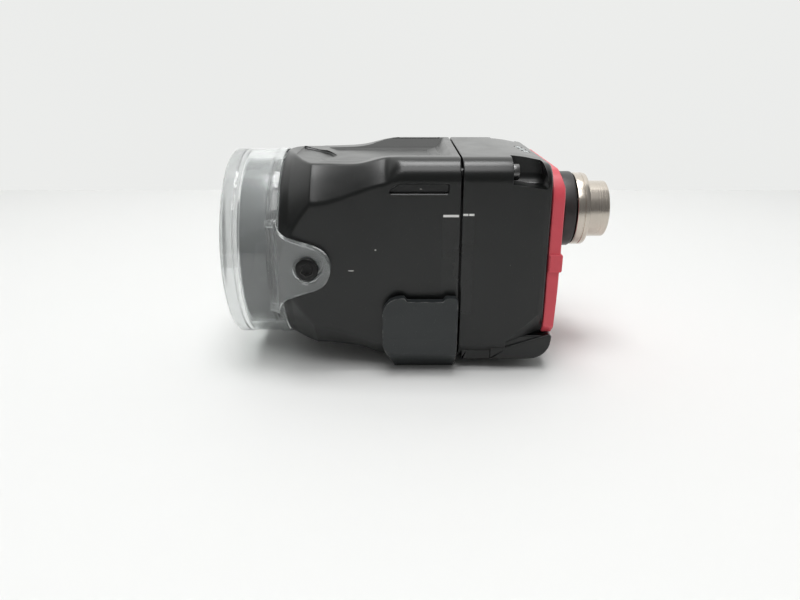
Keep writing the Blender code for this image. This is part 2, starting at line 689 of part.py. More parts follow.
def make_rear_cover():
    plate = slab("rear_cover", plate_outline(), "X", PLATE_FRONT_X, PLATE_REAR_X)
    high = PLATE_TOP + 7
    lean = [(PLATE_FRONT_X - 1, BODY_BOTTOM - 5), (PLATE_REAR_X - 1.0, BODY_BOTTOM - 5), (PLATE_REAR_X, -4)]
    lean += [(PLATE_REAR_X, PLATE_TOP - 3.6), (PLATE_REAR_X - 0.9, PLATE_TOP - 1.0)]
    lean += [(PLATE_REAR_X - 2.0, high), (PLATE_FRONT_X - 1, high)]
    keep_common(plate, slab("plate lean", lean, "Y", -BODY_HALF_WIDTH - 5, BODY_HALF_WIDTH + 5))
    for side in (-1, 1):
        ends = sorted((side * (PLATE_HALF_WIDTH - 2), side * (PLATE_HALF_WIDTH + 0.5)))
        low = (PLATE_FRONT_X + 0.1, ends[0], -1.6)
        high = (PLATE_REAR_X + 0.4, ends[1], 2.9)
        join(plate, block("side tab", low, high))
    boss = [(BOSS_REAR_X, 0), (BOSS_REAR_X, BOSS_RADIUS - 0.4), (BOSS_REAR_X - 0.4, BOSS_RADIUS)]
    boss += [(PLATE_REAR_X + 0.8, BOSS_RADIUS), (PLATE_REAR_X - 0.5, BOSS_RADIUS + 1.2), (PLATE_REAR_X - 0.5, 0)]
    join(plate, turned("socket boss", boss, 48, "X", (0, 0, SOCKET_Z)))
    cut(plate, rod("plate hole", NECK_RADIUS + FIT, 28, 45, 40, "X", (0, 0, SOCKET_Z)))
    return as_part(plate, red_plastic)


def make_socket():
    inner = 6.5
    base = [
        (BASE_REAR_X, inner),
        (BASE_REAR_X, BASE_RADIUS - 0.5),
        (BASE_REAR_X - 0.5, BASE_RADIUS),
        (BASE_FRONT_X, BASE_RADIUS),
        (BASE_FRONT_X, NECK_RADIUS),
        (26.0, NECK_RADIUS),
        (26.0, inner),
    ]
    as_part(turned("socket_base", base, 32, "X", (0, 0, SOCKET_Z)), base_plastic)
    flange_front = BASE_REAR_X + FIT
    shell = [
        (SLEEVE_END_X, SLEEVE_BORE + 0.4),
        (SLEEVE_END_X, SLEEVE_RADIUS - 0.4),
        (SLEEVE_END_X - 0.4, SLEEVE_RADIUS),
        (FLANGE_REAR_X, SLEEVE_RADIUS),
        (FLANGE_REAR_X, FLANGE_RADIUS - 0.6),
        (FLANGE_REAR_X - 0.6, FLANGE_RADIUS),
        (flange_front + 0.4, FLANGE_RADIUS),
        (flange_front, FLANGE_RADIUS - 0.4),
        (flange_front, inner - FIT),
        (24.5, inner - FIT),
        (24.5, 5.2),
        (INSERT_FACE_X - 6, 5.2),
        (INSERT_FACE_X - 5, SLEEVE_BORE),
        (SLEEVE_END_X - 0.4, SLEEVE_BORE),
    ]
    as_part(turned("socket_shell", shell, 32, "X", (0, 0, SOCKET_Z)), nickel)
    insert = [
        (INSERT_FACE_X, 0),
        (INSERT_FACE_X, SLEEVE_BORE - FIT - 0.3),
        (INSERT_FACE_X - 0.3, SLEEVE_BORE - FIT),
        (INSERT_FACE_X - 4.6, SLEEVE_BORE - FIT),
        (INSERT_FACE_X - 5.6, 5.2 - FIT),
        (24.0, 5.2 - FIT),
        (24.0, 0),
    ]
    core = turned("socket_insert", insert, 24, "X", (0, 0, SOCKET_Z))
    for place in contact_places():
        cut(core, rod("contact hole", 0.55, INSERT_FACE_X - 3.5, INSERT_FACE_X + 1, 8, "X", place))
    as_part(core, insert_plastic)
    nut = [(REAR_WALL_FRONT_X - FIT, NECK_RADIUS + FIT), (REAR_WALL_FRONT_X - FIT, NUT_RADIUS),
           (REAR_WALL_FRONT_X - 2.2, NUT_RADIUS), (REAR_WALL_FRONT_X - 2.2, NECK_RADIUS + FIT)]
    as_part(turned("socket_nut", nut, 20, "X", (0, 0, SOCKET_Z)), base_plastic)


def contact_places():
    # Contact holes: an outer circle and an inner circle.
    places = []
    for count, radius in ((8, 3.6), (4, 1.5)):
        for i in range(count):
            angle = math.radians(360 * i / count + 22.5)
            places.append((0, radius * math.cos(angle), SOCKET_Z + radius * math.sin(angle)))
    return places


def make_optics():
    barrel = [
        (LENS_REAR_X, LENS_BORE),
        (LENS_REAR_X, LENS_RADIUS - 0.6),
        (-24.5, LENS_RADIUS - 0.6),
        (-26.0, LENS_RADIUS),
        (LENS_FRONT_X + 0.4, LENS_RADIUS),
        (LENS_FRONT_X, LENS_RADIUS - 0.4),
        (LENS_FRONT_X, LENS_BORE + 0.8),
        (LENS_FRONT_X + 1.2, LENS_BORE),
        (-33.0, LENS_BORE),
        (-33.0, 5.6),
        (-23.0, 5.6),
        (-23.0, LENS_BORE),
    ]
    as_part(turned("lens_barrel", barrel, 28), lens_black)
    front_glass = [(-33.3, 0)] + [(-33.3, 6.7), (-36.3, 6.7)] + [(-37.2, 4.6), (-37.8, 2.4), (-38.0, 0)]
    as_part(turned("front_lens", front_glass, 20), lens_glass)
    rear_glass = [(-19.0, 0), (-19.2, 3.0), (-19.8, 5.4), (-20.6, 6.7), (-22.7, 6.7), (-22.7, 0)]
    as_part(turned("rear_lens", rear_glass, 20), lens_glass)
    lock = [(-21.4, LENS_RADIUS + FIT), (-21.4, 11.4), (-23.6, 11.4), (-23.6, LENS_RADIUS + FIT)]
    as_part(turned("lens_lock_ring", lock, 20), lens_black)
    low = (-20.4, -HOLDER_HALF, -HOLDER_HALF)
    holder = block("lens_holder", low, (SENSOR_BOARD_X - FIT, HOLDER_HALF, HOLDER_HALF))
    cut(holder, rod("holder bore", LENS_RADIUS - 0.3, -22, LENS_REAR_X + 0.6, 32))
    cut(holder, block("holder room", (LENS_REAR_X + 0.3, -8, -8), (0, 8, 8)))
    as_part(holder, lens_black)


def make_light():
    back = LIGHT_BOARD_X - FIT
    inner = LENS_RADIUS + 0.5
    profile = [
        (back, inner),
        (back, SPIGOT_BORE - FIT),
        (SPIGOT_FRONT_X - FIT, SPIGOT_BORE - FIT),
        (SPIGOT_FRONT_X - FIT, COVER_BORE - 0.6),
        (SHROUD_FRONT_X, COVER_BORE - 0.6),
        (SHROUD_FRONT_X, COVER_BORE - 1.3),
        (SHROUD_FLOOR_X, SPIGOT_BORE - 1.0),
        (SHROUD_FLOOR_X, inner),
    ]
    shroud = turned("light_shroud", profile, 40)
    board = rod("light_board", SPIGOT_BORE - FIT, LIGHT_BOARD_X, LIGHT_BOARD_X + LIGHT_BOARD_THICKNESS, 36)
    cut(board, rod("board hole", inner, -40, -20, 32))
    for i in range(LIGHT_COUNT):
        angle = 2 * math.pi * (i + 0.5) / LIGHT_COUNT
        y = LIGHT_CIRCLE * math.cos(angle)
        z = LIGHT_CIRCLE * math.sin(angle)
        cone = [(back + 1, 0), (back + 1, 2.4), (back, 2.4), (SHROUD_FLOOR_X, 4.2), (SHROUD_FLOOR_X - 1, 4.2),
                (SHROUD_FLOOR_X - 1, 0)]
        cut(shroud, turned("light cone", cone, 10, "X", (0, y, z)))
        light = block(f"light_{i + 1}", (back - 1.0, y - 1.5, z - 1.5), (back, y + 1.5, z + 1.5))
        as_part(light, light_white)
    as_part(shroud, shroud_grey)
    as_part(board, board_green)


def make_board(name, x):
    outline = square_in_circle(BOARD_HALF, BOARD_RADIUS, 2)
    board = slab(name, outline, "X", x, x + BOARD_THICKNESS)
    return as_part(board, board_green)


def make_posts(name, start, end):
    number = 0
    for y in (-POST_OFFSET, POST_OFFSET):
        for z in (-POST_OFFSET, POST_OFFSET):
            number += 1
            as_part(rod(f"{name}_{number}", POST_RADIUS, start, end, 6, "X", (0, y, z)), post_brass)


def make_electronics():
    make_board("sensor_board", SENSOR_BOARD_X)
    make_board("main_board", MAIN_BOARD_X)
    make_board("power_board", POWER_BOARD_X)
    front = SENSOR_BOARD_X - FIT
    as_part(block("image_sensor", (front - 1.4, -5.5, -4.5), (front, 5.5, 4.5)), chip_black)
    front = MAIN_BOARD_X - FIT
    as_part(block("processor", (front - 1.6, -7, -7), (front, 7, 7)), chip_black)
    rear = POWER_BOARD_X + BOARD_THICKNESS + FIT
    as_part(block("power_coil", (rear, -12, -12), (21.0, -4, -4)), chip_black)
    make_posts("front_post", PARTITION_REAR_X + FIT, SENSOR_BOARD_X - FIT)
    make_posts("middle_post", SENSOR_BOARD_X + BOARD_THICKNESS + FIT, MAIN_BOARD_X - FIT)
    make_posts("rear_post", MAIN_BOARD_X + BOARD_THICKNESS + FIT, POWER_BOARD_X - FIT)


def bend(width, height, steps):
    # Quarter bend of the shoe's cross-section, from the wall to the base.
    points = []
    for i in range(steps + 1):
        angle = math.pi / 2 * i / steps
        points.append((SHOE_BEND_Y + width * math.cos(angle), SHOE_BEND_Z - height * math.sin(angle)))
    return points


def make_shoe():
    inner_y = SHOE_HALF_WIDTH - SHOE_WALL
    outer = [(SHOE_HALF_WIDTH, SHOE_TOP + 1)]
    outer += bend(SHOE_HALF_WIDTH - SHOE_BEND_Y, AXIS_HEIGHT + SHOE_BEND_Z, 8)
    inner = [(inner_y, SHOE_TOP + 1)]
    inner += bend(inner_y - SHOE_BEND_Y, SHOE_BEND_Z - SHOE_PLATE_TOP, 8)
    far = [(-y, z) for y, z in reversed(outer)]
    far_inner = [(-y, z) for y, z in inner]
    outline = outer + far + far_inner + list(reversed(inner))
    shoe = slab("mounting_shoe", outline, "X", SHOE_FRONT_X, SHOE_REAR_X)
    side = arc((SHOE_FRONT_X + SHOE_CORNER, SHOE_TOP - SHOE_CORNER), SHOE_CORNER, 180, 110, 5)
    side += [(-6.2, SHOE_TOP), (-3.9, SHOE_TOP), (-3.3, SHOE_NOTCH_FLOOR), (5.5, SHOE_NOTCH_FLOOR),
             (6.1, SHOE_TOP), (8.2, SHOE_TOP), (SHOE_REAR_X, SHOE_TOP - 0.8)]
    base = SHOE_PLATE_TOP - 5
    side += [(SHOE_REAR_X, SHOE_PLATE_TOP + 0.7), (8.2, base), (-5.8, base)]
    side += [(-7.0, SHOE_PLATE_TOP + 0.1), (SHOE_FRONT_X, SHOE_PLATE_TOP + 5.7)]
    keep_common(shoe, slab("shoe side", side, "Y", -SHOE_HALF_WIDTH - 5, SHOE_HALF_WIDTH + 5))
    for side in (-1, 1):
        centre = (0, side * SHOE_SCREW_Y, 0)
        hole = SHOE_SCREW_SHANK + FIT
        sink = [(SHOE_PLATE_TOP + 0.7, 0), (SHOE_PLATE_TOP + 0.7, hole), (SHOE_PLATE_TOP - 0.3, hole)]
        sink += [(SHOE_PLATE_TOP - 1.6, SHOE_SCREW_HEAD + FIT), (base, SHOE_SCREW_HEAD + FIT), (base, 0)]
        cut(shoe, turned("shoe countersink", sink, 24, "Z", centre))
    return as_part(shoe, shoe_paint)


make_front_cover()
make_front_housing()
make_rear_housing()
make_rear_cover()
make_socket()
make_shoe()
make_screws()
make_seals()
make_windows()
make_optics()
make_light()
make_electronics()
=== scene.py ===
import math

import bmesh
import bpy
from mathutils import Matrix, Vector


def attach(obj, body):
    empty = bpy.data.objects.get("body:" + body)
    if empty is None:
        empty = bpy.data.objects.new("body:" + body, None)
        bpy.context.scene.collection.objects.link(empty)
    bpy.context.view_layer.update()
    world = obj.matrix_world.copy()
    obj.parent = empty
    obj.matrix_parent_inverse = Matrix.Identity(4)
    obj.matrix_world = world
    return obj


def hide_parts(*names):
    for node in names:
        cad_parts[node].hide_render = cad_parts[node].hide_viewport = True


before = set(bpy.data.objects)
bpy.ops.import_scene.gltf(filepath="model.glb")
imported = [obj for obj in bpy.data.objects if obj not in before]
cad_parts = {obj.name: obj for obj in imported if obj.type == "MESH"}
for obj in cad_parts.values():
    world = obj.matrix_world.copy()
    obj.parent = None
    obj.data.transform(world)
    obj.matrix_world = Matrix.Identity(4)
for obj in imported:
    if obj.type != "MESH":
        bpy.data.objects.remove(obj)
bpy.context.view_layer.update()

# Sizes below are in millimetres: x along the lens axis, y away from the camera, z from the lens axis up.
mm = 0.001
axisHeight = 28.0
socketZ = 9.0
coverScrewX = -27.3
lightCount = 8
lightCircle = 14.6
quarterTurn = math.pi / 2
socketCentre = (0, 0, socketZ)
scene = bpy.context.scene


shoeSizes = {"front": -9.3, "rear": 9.1, "half": 28.0, "wall": 2.1, "top": -7.0, "plateTop": -25.7,
             "edge": 0.4, "screwY": 12.0}


def metres(x, y, z):
    return (x * mm, y * mm, (z + axisHeight) * mm)


# Mesh helpers.
planeAxes = {
    "X": (Vector((1, 0, 0)), Vector((0, 1, 0)), Vector((0, 0, 1))),
    "Y": (Vector((0, 1, 0)), Vector((1, 0, 0)), Vector((0, 0, 1))),
    "Z": (Vector((0, 0, 1)), Vector((1, 0, 0)), Vector((0, 1, 0))),
}


def bakedMesh(thing):
    bpy.context.view_layer.update()
    graph = bpy.context.evaluated_depsgraph_get()
    return bpy.data.meshes.new_from_object(thing.evaluated_get(graph), depsgraph=graph)


def swapMesh(thing, mesh):
    old = thing.data
    thing.data = mesh
    bpy.data.meshes.remove(old)


def newPiece(name, points, faces):
    mesh = bpy.data.meshes.new(name)
    mesh.from_pydata([metres(*point) for point in points], [], faces)
    shape = bmesh.new()
    shape.from_mesh(mesh)
    bmesh.ops.remove_doubles(shape, verts=shape.verts, dist=0.0005 * mm)
    bmesh.ops.recalc_face_normals(shape, faces=shape.faces)
    shape.to_mesh(mesh)
    shape.free()
    piece = bpy.data.objects.new(name, mesh)
    scene.collection.objects.link(piece)
    return piece


def loft(name, rings):
    # Skin through rings of equally many points, closed at both ends.
    count = len(rings[0])
    points = [point for ring in rings for point in ring]
    faces = []
    for row in range(len(rings) - 1):
        for i in range(count):
            j = (i + 1) % count
            faces.append((row * count + i, row * count + j, (row + 1) * count + j, (row + 1) * count + i))
    last = (len(rings) - 1) * count
    faces.append(tuple(reversed(range(count))))
    faces.append(tuple(last + i for i in range(count)))
    return newPiece(name, points, faces)


def turned(name, profile, steps=96, axis="X", centre=(0, 0, 0), side=1):
    # Turned part: profile is (along, radius); side -1 points it backwards.
    along, across, up = planeAxes[axis]
    middle = Vector(centre)
    rings = []
    points = []
    for distance, radius in profile:
        first = len(points)
        around = steps if radius > 1e-6 else 1
        for i in range(around):
            angle = 2 * math.pi * i / steps
            points.append(middle + along * distance * side
                          + across * radius * math.cos(angle) + up * radius * math.sin(angle))
        rings.append((first, around))
    faces = []
    pairs = list(zip(rings, rings[1:]))
    if profile[0][1] > 1e-6 or profile[-1][1] > 1e-6:
        pairs.append((rings[-1], rings[0]))
    for (start, count), (nextStart, nextCount) in pairs:
        for i in range(steps):
            j = (i + 1) % steps
            corners = [start + i % count, start + j % count, nextStart + j % nextCount, nextStart + i % nextCount]
            corners = list(dict.fromkeys(corners))
            if len(corners) > 2:
                faces.append(corners)
    return newPiece(name, points, faces)


def rod(name, radius, start, end, steps=48, axis="X", centre=(0, 0, 0), side=1):
    return turned(name, [(end, 0), (end, radius), (start, radius), (start, 0)], steps, axis, centre, side)


def signedArea(outline):
    total = 0
    for (a, b), (c, d) in zip(outline, outline[1:] + outline[:1]):
        total += a * d - c * b
    return total / 2


def offsetOutline(outline, distance):
    # Outline grown outwards by a distance, with mitred corners.
    turn = 1 if signedArea(outline) > 0 else -1
    grown = []
    count = len(outline)
    for i in range(count):
        before = Vector(outline[i]) - Vector(outline[i - 1])
        after = Vector(outline[(i + 1) % count]) - Vector(outline[i])
        before.normalize()
        after.normalize()
        first = Vector((before.y, -before.x)) * turn
        second = Vector((after.y, -after.x)) * turn
        middle = (first + second).normalized()
        reach = distance / max(0.35, middle.dot(first))
        grown.append((outline[i][0] + middle.x * reach, outline[i][1] + middle.y * reach))
    return grown


def slab(name, outline, axis, levels):
    # Outline pushed through levels of (along, growth), so edges get chamfers and rounds.
    along, across, up = planeAxes[axis]
    rings = []
    for distance, growth in levels:
        shape = offsetOutline(outline, growth) if growth else outline
        rings.append([along * distance + across * a + up * b for a, b in shape])
    return loft(name, rings)


def roundedLevels(start, end, edge, steps=3):
    # Levels of a slab whose two rims are rounded.
    near = [(start + edge * (1 - math.cos(math.pi / 2 * i / steps)), -edge * (1 - math.sin(math.pi / 2 * i / steps)))
            for i in range(steps + 1)]
    far = [(end - (along - start), growth) for along, growth in reversed(near)]
    return near + far


def arc(centre, radius, start, end, steps):
    points = []
    for i in range(steps + 1):
        angle = math.radians(start + (end - start) * i / steps)
        points.append((centre[0] + radius * math.cos(angle), centre[1] + radius * math.sin(angle)))
    return points


def rounded(corners, steps=8):
    # Polygon of (a, b, radius) with its corners rounded, always steps + 1 points a corner.
    outline = []
    count = len(corners)
    for i in range(count):
        here = Vector(corners[i][:2])
        before = (Vector(corners[i - 1][:2]) - here).normalized()
        after = (Vector(corners[(i + 1) % count][:2]) - here).normalized()
        radius = corners[i][2]
        half = before.angle(after) / 2
        reach = radius / math.tan(half)
        middle = here + (before + after).normalized() * radius / math.sin(half)
        first = here + before * reach - middle
        sweep = math.pi - 2 * half
        if before.x * after.y - before.y * after.x > 0:
            sweep = -sweep
        for step in range(steps + 1):
            angle = sweep * step / steps
            outline.append((middle.x + first.x * math.cos(angle) - first.y * math.sin(angle),
                            middle.y + first.x * math.sin(angle) + first.y * math.cos(angle)))
    return outline


def squareInCircle(half, radius, steps=12):
    near = math.degrees(math.acos(half / radius))
    outline = []
    for quarter in range(4):
        outline += arc((0, 0), radius, quarter * 90 + near, quarter * 90 + 90 - near, steps)
    return outline


def combine(target, tool, operation):
    step = target.modifiers.new("combine", "BOOLEAN")
    step.operation = operation
    step.solver = "MANIFOLD"
    step.object = tool
    mesh = bakedMesh(target)
    target.modifiers.remove(step)
    swapMesh(target, mesh)
    toolMesh = tool.data
    bpy.data.objects.remove(tool, do_unlink=True)
    bpy.data.meshes.remove(toolMesh)
    return target


def carve(target, tool):
    return combine(target, tool, "DIFFERENCE")


def weld(target, tool):
    return combine(target, tool, "UNION")


def trim(target, tool):
    return combine(target, tool, "INTERSECT")


def soften(piece, width, segments=2, angle=35):
    # Rounds the sharp edges a little, as paint and moulding do.
    step = piece.modifiers.new("soften", "BEVEL")
    step.width = width * mm
    step.segments = segments
    step.limit_method = "ANGLE"
    step.angle_limit = math.radians(angle)
    step.use_clamp_overlap = True
    step.harden_normals = False
    mesh = bakedMesh(piece)
    piece.modifiers.remove(step)
    swapMesh(piece, mesh)
    return piece


def smoothMesh(piece, angle=32):
    shape = bmesh.new()
    shape.from_mesh(piece.data)
    bmesh.ops.remove_doubles(shape, verts=shape.verts, dist=0.002 * mm)
    bmesh.ops.dissolve_degenerate(shape, edges=shape.edges, dist=0.002 * mm)
    shape.to_mesh(piece.data)
    shape.free()
    piece.data.shade_smooth()
    piece.data.set_sharp_from_angle(angle=math.radians(angle))
    step = piece.modifiers.new("even shading", "WEIGHTED_NORMAL")
    step.keep_sharp = True
    step.weight = 70
    mesh = bakedMesh(piece)
    piece.modifiers.remove(step)
    swapMesh(piece, mesh)


def finishPiece(piece, slotName, *nodes, angle=32):
    smoothMesh(piece, angle)
    piece.data.name = piece.name
    piece.data.materials.clear()
    piece.data.materials.append(materials[slotName])
    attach(piece, "root")
    if nodes:
        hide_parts(*nodes)
    return piece


# Stage, lamps and camera.
stageSizes = {
    "cameraPlace": (-5.0, -176.95, 75.88 - axisHeight),
    "cameraTilt": 69.66,
    "cameraLens": 29.575,
    "wallY": 219.3,
    "wallGloss": 0.45,
    # Name, y, height, size, watts and tilt of each lamp.
    "lamps": [("overheadLamp", 20.0, 700.0, 330.0, 3.1, 1.0), ("frontLamp", -270.0, 520.0, 280.0, 1.0, -27.0)],
}


def addNode(tree, kind, inputs=(), **settings):
    made = tree.nodes.new(kind)
    for name, value in settings.items():
        setattr(made, name, value)
    for key, value in dict(inputs).items():
        if isinstance(value, bpy.types.NodeSocket):
            tree.links.new(value, made.inputs[key])
        else:
            made.inputs[key].default_value = value
    return made


def mathNode(tree, operation, *values, clamp=False):
    made = addNode(tree, "ShaderNodeMath", dict(enumerate(values)), operation=operation, use_clamp=clamp)
    return made.outputs[0]


def objectPlace(tree):
    return addNode(tree, "ShaderNodeTexCoord").outputs["Object"]


def vectorMath(tree, operation, first, second=None):
    inputs = {0: first} if second is None else {0: first, 1: second}
    made = addNode(tree, "ShaderNodeVectorMath", inputs, operation=operation)
    return made.outputs["Value" if operation in ("LENGTH", "DOT_PRODUCT") else 0]


def mapRange(tree, value, low, high, start=0.0, end=1.0):
    return addNode(tree, "ShaderNodeMapRange", {"Value": value, "From Min": low, "From Max": high,
                                                "To Min": start, "To Max": end}).outputs[0]


def perMetre(tree, size):
    # Texture scale for a size in millimetres.
    return mathNode(tree, "DIVIDE", 1000.0, size)


def newMaterial(name):
    material = bpy.data.materials.new(name)
    material.use_nodes = True
    tree = material.node_tree
    tree.nodes.clear()
    output = tree.nodes.new("ShaderNodeOutputMaterial")
    return material, tree, output.inputs["Surface"]


def shownToRays(tree):
    # 1 for rays that see the background: straight on, in gloss or through clear parts.
    path = addNode(tree, "ShaderNodeLightPath").outputs
    seen = mathNode(tree, "MAXIMUM", path["Is Camera Ray"], path["Is Glossy Ray"])
    return mathNode(tree, "MAXIMUM", seen, path["Is Transmission Ray"])


def makeStage():
    world = bpy.data.worlds.new("studio")
    world.use_nodes = True
    scene.world = world
    tree = world.node_tree
    tree.nodes.clear()
    direction = addNode(tree, "ShaderNodeTexCoord").outputs["Generated"]
    parts = addNode(tree, "ShaderNodeSeparateXYZ", {0: direction}).outputs
    height = mapRange(tree, parts["Z"], -0.2, 0.9, 0.2, 0.35)
    front = mapRange(tree, parts["Y"], -0.9, 0.3, 0.8, 1.0)
    level = mathNode(tree, "MULTIPLY", height, front)
    camera = addNode(tree, "ShaderNodeLightPath").outputs["Is Camera Ray"]
    strength = addNode(tree, "ShaderNodeMix", {"Factor": camera, "A": level, "B": 0.85}).outputs[0]
    glow = addNode(tree, "ShaderNodeBackground", {"Color": (1, 1, 0.995, 1), "Strength": strength})
    addNode(tree, "ShaderNodeOutputWorld", {"Surface": glow.outputs[0]})

    material, tree, surface = newMaterial("floorSheet")
    place = objectPlace(tree)
    cloud = addNode(tree, "ShaderNodeTexNoise", {"Vector": place, "Scale": 3.0, "Detail": 2.0}).outputs["Fac"]
    tone = addNode(tree, "ShaderNodeMix", {"Factor": cloud, "A": (0.79, 0.795, 0.79, 1), "B": (0.82, 0.825, 0.815, 1)},
                   data_type="RGBA").outputs[2]
    sheet = addNode(tree, "ShaderNodeBsdfPrincipled", {"Base Color": tone, "Roughness": 0.6, "Specular IOR Level": 0.2})
    tree.links.new(sheet.outputs[0], surface)
    floor = newPiece("studioFloor", [(-3000, -3000, -axisHeight - 0.03), (3000, -3000, -axisHeight - 0.03),
                                     (3000, 3000, -axisHeight - 0.03), (-3000, 3000, -axisHeight - 0.03)],
                     [(0, 1, 2, 3)])
    floor.data.materials.append(material)

    material, tree, surface = newMaterial("wallSheet")
    place = objectPlace(tree)
    spread = addNode(tree, "ShaderNodeTexNoise", {"Vector": place, "Scale": 2.2, "Detail": 1.0}).outputs["Fac"]
    tone = addNode(tree, "ShaderNodeMix", {"Factor": spread, "A": (0.79, 0.80, 0.79, 1), "B": (0.88, 0.885, 0.87, 1)},
                   data_type="RGBA").outputs[2]
    matte = addNode(tree, "ShaderNodeBsdfDiffuse", {"Color": tone})
    gloss = addNode(tree, "ShaderNodeLightPath").outputs["Is Glossy Ray"]
    strength = mathNode(tree, "MULTIPLY_ADD", gloss, stageSizes["wallGloss"], 1.0)
    glow = addNode(tree, "ShaderNodeEmission", {"Color": tone, "Strength": strength})
    both = addNode(tree, "ShaderNodeMixShader", {0: shownToRays(tree), 1: matte.outputs[0], 2: glow.outputs[0]})
    tree.links.new(both.outputs[0], surface)
    wallY = stageSizes["wallY"]
    wall = newPiece("studioWall", [(-3000, wallY, -axisHeight - 0.03), (3000, wallY, -axisHeight - 0.03),
                                   (3000, wallY, 2500), (-3000, wallY, 2500)], [(0, 1, 2, 3)])
    wall.data.materials.append(material)

    for name, y, height, size, power, tilt in stageSizes["lamps"]:
        lamp = bpy.data.lights.new(name, "AREA")
        lamp.shape = "RECTANGLE"
        lamp.size = size * mm
        lamp.size_y = size * 0.9 * mm
        lamp.energy = power
        holder = bpy.data.objects.new(name, lamp)
        holder.location = metres(-5, y, height)
        holder.rotation_euler = (math.radians(-tilt), 0, 0)
        scene.collection.objects.link(holder)

    lens = bpy.data.cameras.new("photoCamera")
    lens.lens = stageSizes["cameraLens"]
    lens.sensor_width = 36
    lens.clip_start = 0.01
    lens.clip_end = 20
    camera = bpy.data.objects.new("photoCamera", lens)
    camera.location = metres(*stageSizes["cameraPlace"])
    camera.rotation_euler = (math.radians(stageSizes["cameraTilt"]), 0, 0)
    scene.collection.objects.link(camera)
    scene.camera = camera
    scene.view_settings.view_transform = "Standard"
    print("stage ready")


makeStage()


# Shared effects for the materials.
def newGroup(name, inputs, outputs):
    kinds = {"value": "NodeSocketFloat", "colour": "NodeSocketColor", "vector": "NodeSocketVector"}
    tree = bpy.data.node_groups.new(name, "ShaderNodeTree")
    for label, kind, value in inputs:
        socket = tree.interface.new_socket(label, in_out="INPUT", socket_type=kinds[kind])
        socket.default_value = value
    for label, kind in outputs:
        tree.interface.new_socket(label, in_out="OUTPUT", socket_type=kinds[kind])
    return tree, tree.nodes.new("NodeGroupInput").outputs, tree.nodes.new("NodeGroupOutput").inputs


def useGroup(tree, group, inputs=()):
    made = tree.nodes.new("ShaderNodeGroup")
    made.node_tree = group
    for key, value in dict(inputs).items():
        if isinstance(value, bpy.types.NodeSocket):
            tree.links.new(value, made.inputs[key])
        else:
            made.inputs[key].default_value = value
    return made.outputs


def makeMottleGroup():
    # Uneven tone, fine grain height and soft handling smudges of a moulded or painted skin.
    tree, given, out = newGroup("skinMottle",
                                [("Colour", "colour", (0.1, 0.1, 0.1, 1)), ("Patch Size", "value", 8.0),
                                 ("Patch Strength", "value", 0.2), ("Grain Size", "value", 0.25)],
                                [("Colour", "colour"), ("Grain", "value"), ("Smudge", "value")])
    place = objectPlace(tree)
    patchScale = perMetre(tree, given["Patch Size"])
    grainScale = perMetre(tree, given["Grain Size"])
    patch = addNode(tree, "ShaderNodeTexNoise", {"Vector": place, "Scale": patchScale, "Detail": 4.0,
                                                 "Roughness": 0.6}).outputs["Fac"]
    swing = mathNode(tree, "MULTIPLY", mathNode(tree, "SUBTRACT", patch, 0.5), given["Patch Strength"])
    gain = mathNode(tree, "ADD", swing, 1.0)
    lit = addNode(tree, "ShaderNodeVectorMath", {0: given["Colour"], "Scale": gain}, operation="SCALE").outputs[0]
    tree.links.new(lit, out["Colour"])
    grain = addNode(tree, "ShaderNodeTexNoise", {"Vector": place, "Scale": grainScale, "Detail": 2.0}).outputs["Fac"]
    tree.links.new(grain, out["Grain"])
    smudge = addNode(tree, "ShaderNodeTexNoise", {"Vector": place, "Scale": mathNode(tree, "MULTIPLY", patchScale, 0.6),
                                                  "Detail": 6.0, "Distortion": 0.8}).outputs["Fac"]
    soft = mapRange(tree, smudge, 0.42, 0.72)
    tree.links.new(soft, out["Smudge"])
    return tree


def makeEdgeGroup():
    # Mask along edges, broken up so it isn't even: rubbed paint on painted parts, a painted highlight on the clear
    # cover's edges.
    tree, given, out = newGroup("edgeWear",
                                [("Width", "value", 0.3), ("Break Size", "value", 2.0), ("Amount", "value", 1.0)],
                                [("Mask", "value")])
    place = objectPlace(tree)
    straight = addNode(tree, "ShaderNodeNewGeometry").outputs["Normal"]
    reach = mathNode(tree, "MULTIPLY", given["Width"], mm)
    bent = addNode(tree, "ShaderNodeBevel", {"Radius": reach}, samples=6).outputs[0]
    same = vectorMath(tree, "DOT_PRODUCT", straight, bent)
    edge = mapRange(tree, same, 0.998, 0.90)
    breakScale = perMetre(tree, given["Break Size"])
    broken = addNode(tree, "ShaderNodeTexNoise", {"Vector": place, "Scale": breakScale, "Detail": 4.0}).outputs["Fac"]
    worn = mapRange(tree, broken, 0.45, 0.62)
    mask = mathNode(tree, "MULTIPLY", mathNode(tree, "MULTIPLY", edge, worn), given["Amount"], clamp=True)
    tree.links.new(mask, out["Mask"])
    return tree


def makeSpeckGroup():
    # Small specks of dust, scattered evenly.
    tree, given, out = newGroup("dustSpecks",
                                [("Spacing", "value", 2.0), ("Size", "value", 0.12), ("Amount", "value", 0.3)],
                                [("Mask", "value")])
    place = objectPlace(tree)
    scale = perMetre(tree, given["Spacing"])
    cells = addNode(tree, "ShaderNodeTexVoronoi", {"Vector": place, "Scale": scale}).outputs
    near = mathNode(tree, "LESS_THAN", cells["Distance"], given["Size"])
    pick = addNode(tree, "ShaderNodeSeparateColor", {0: cells["Color"]}).outputs
    chosen = mathNode(tree, "LESS_THAN", pick["Red"], given["Amount"])
    tree.links.new(mathNode(tree, "MULTIPLY", near, chosen), out["Mask"])
    return tree


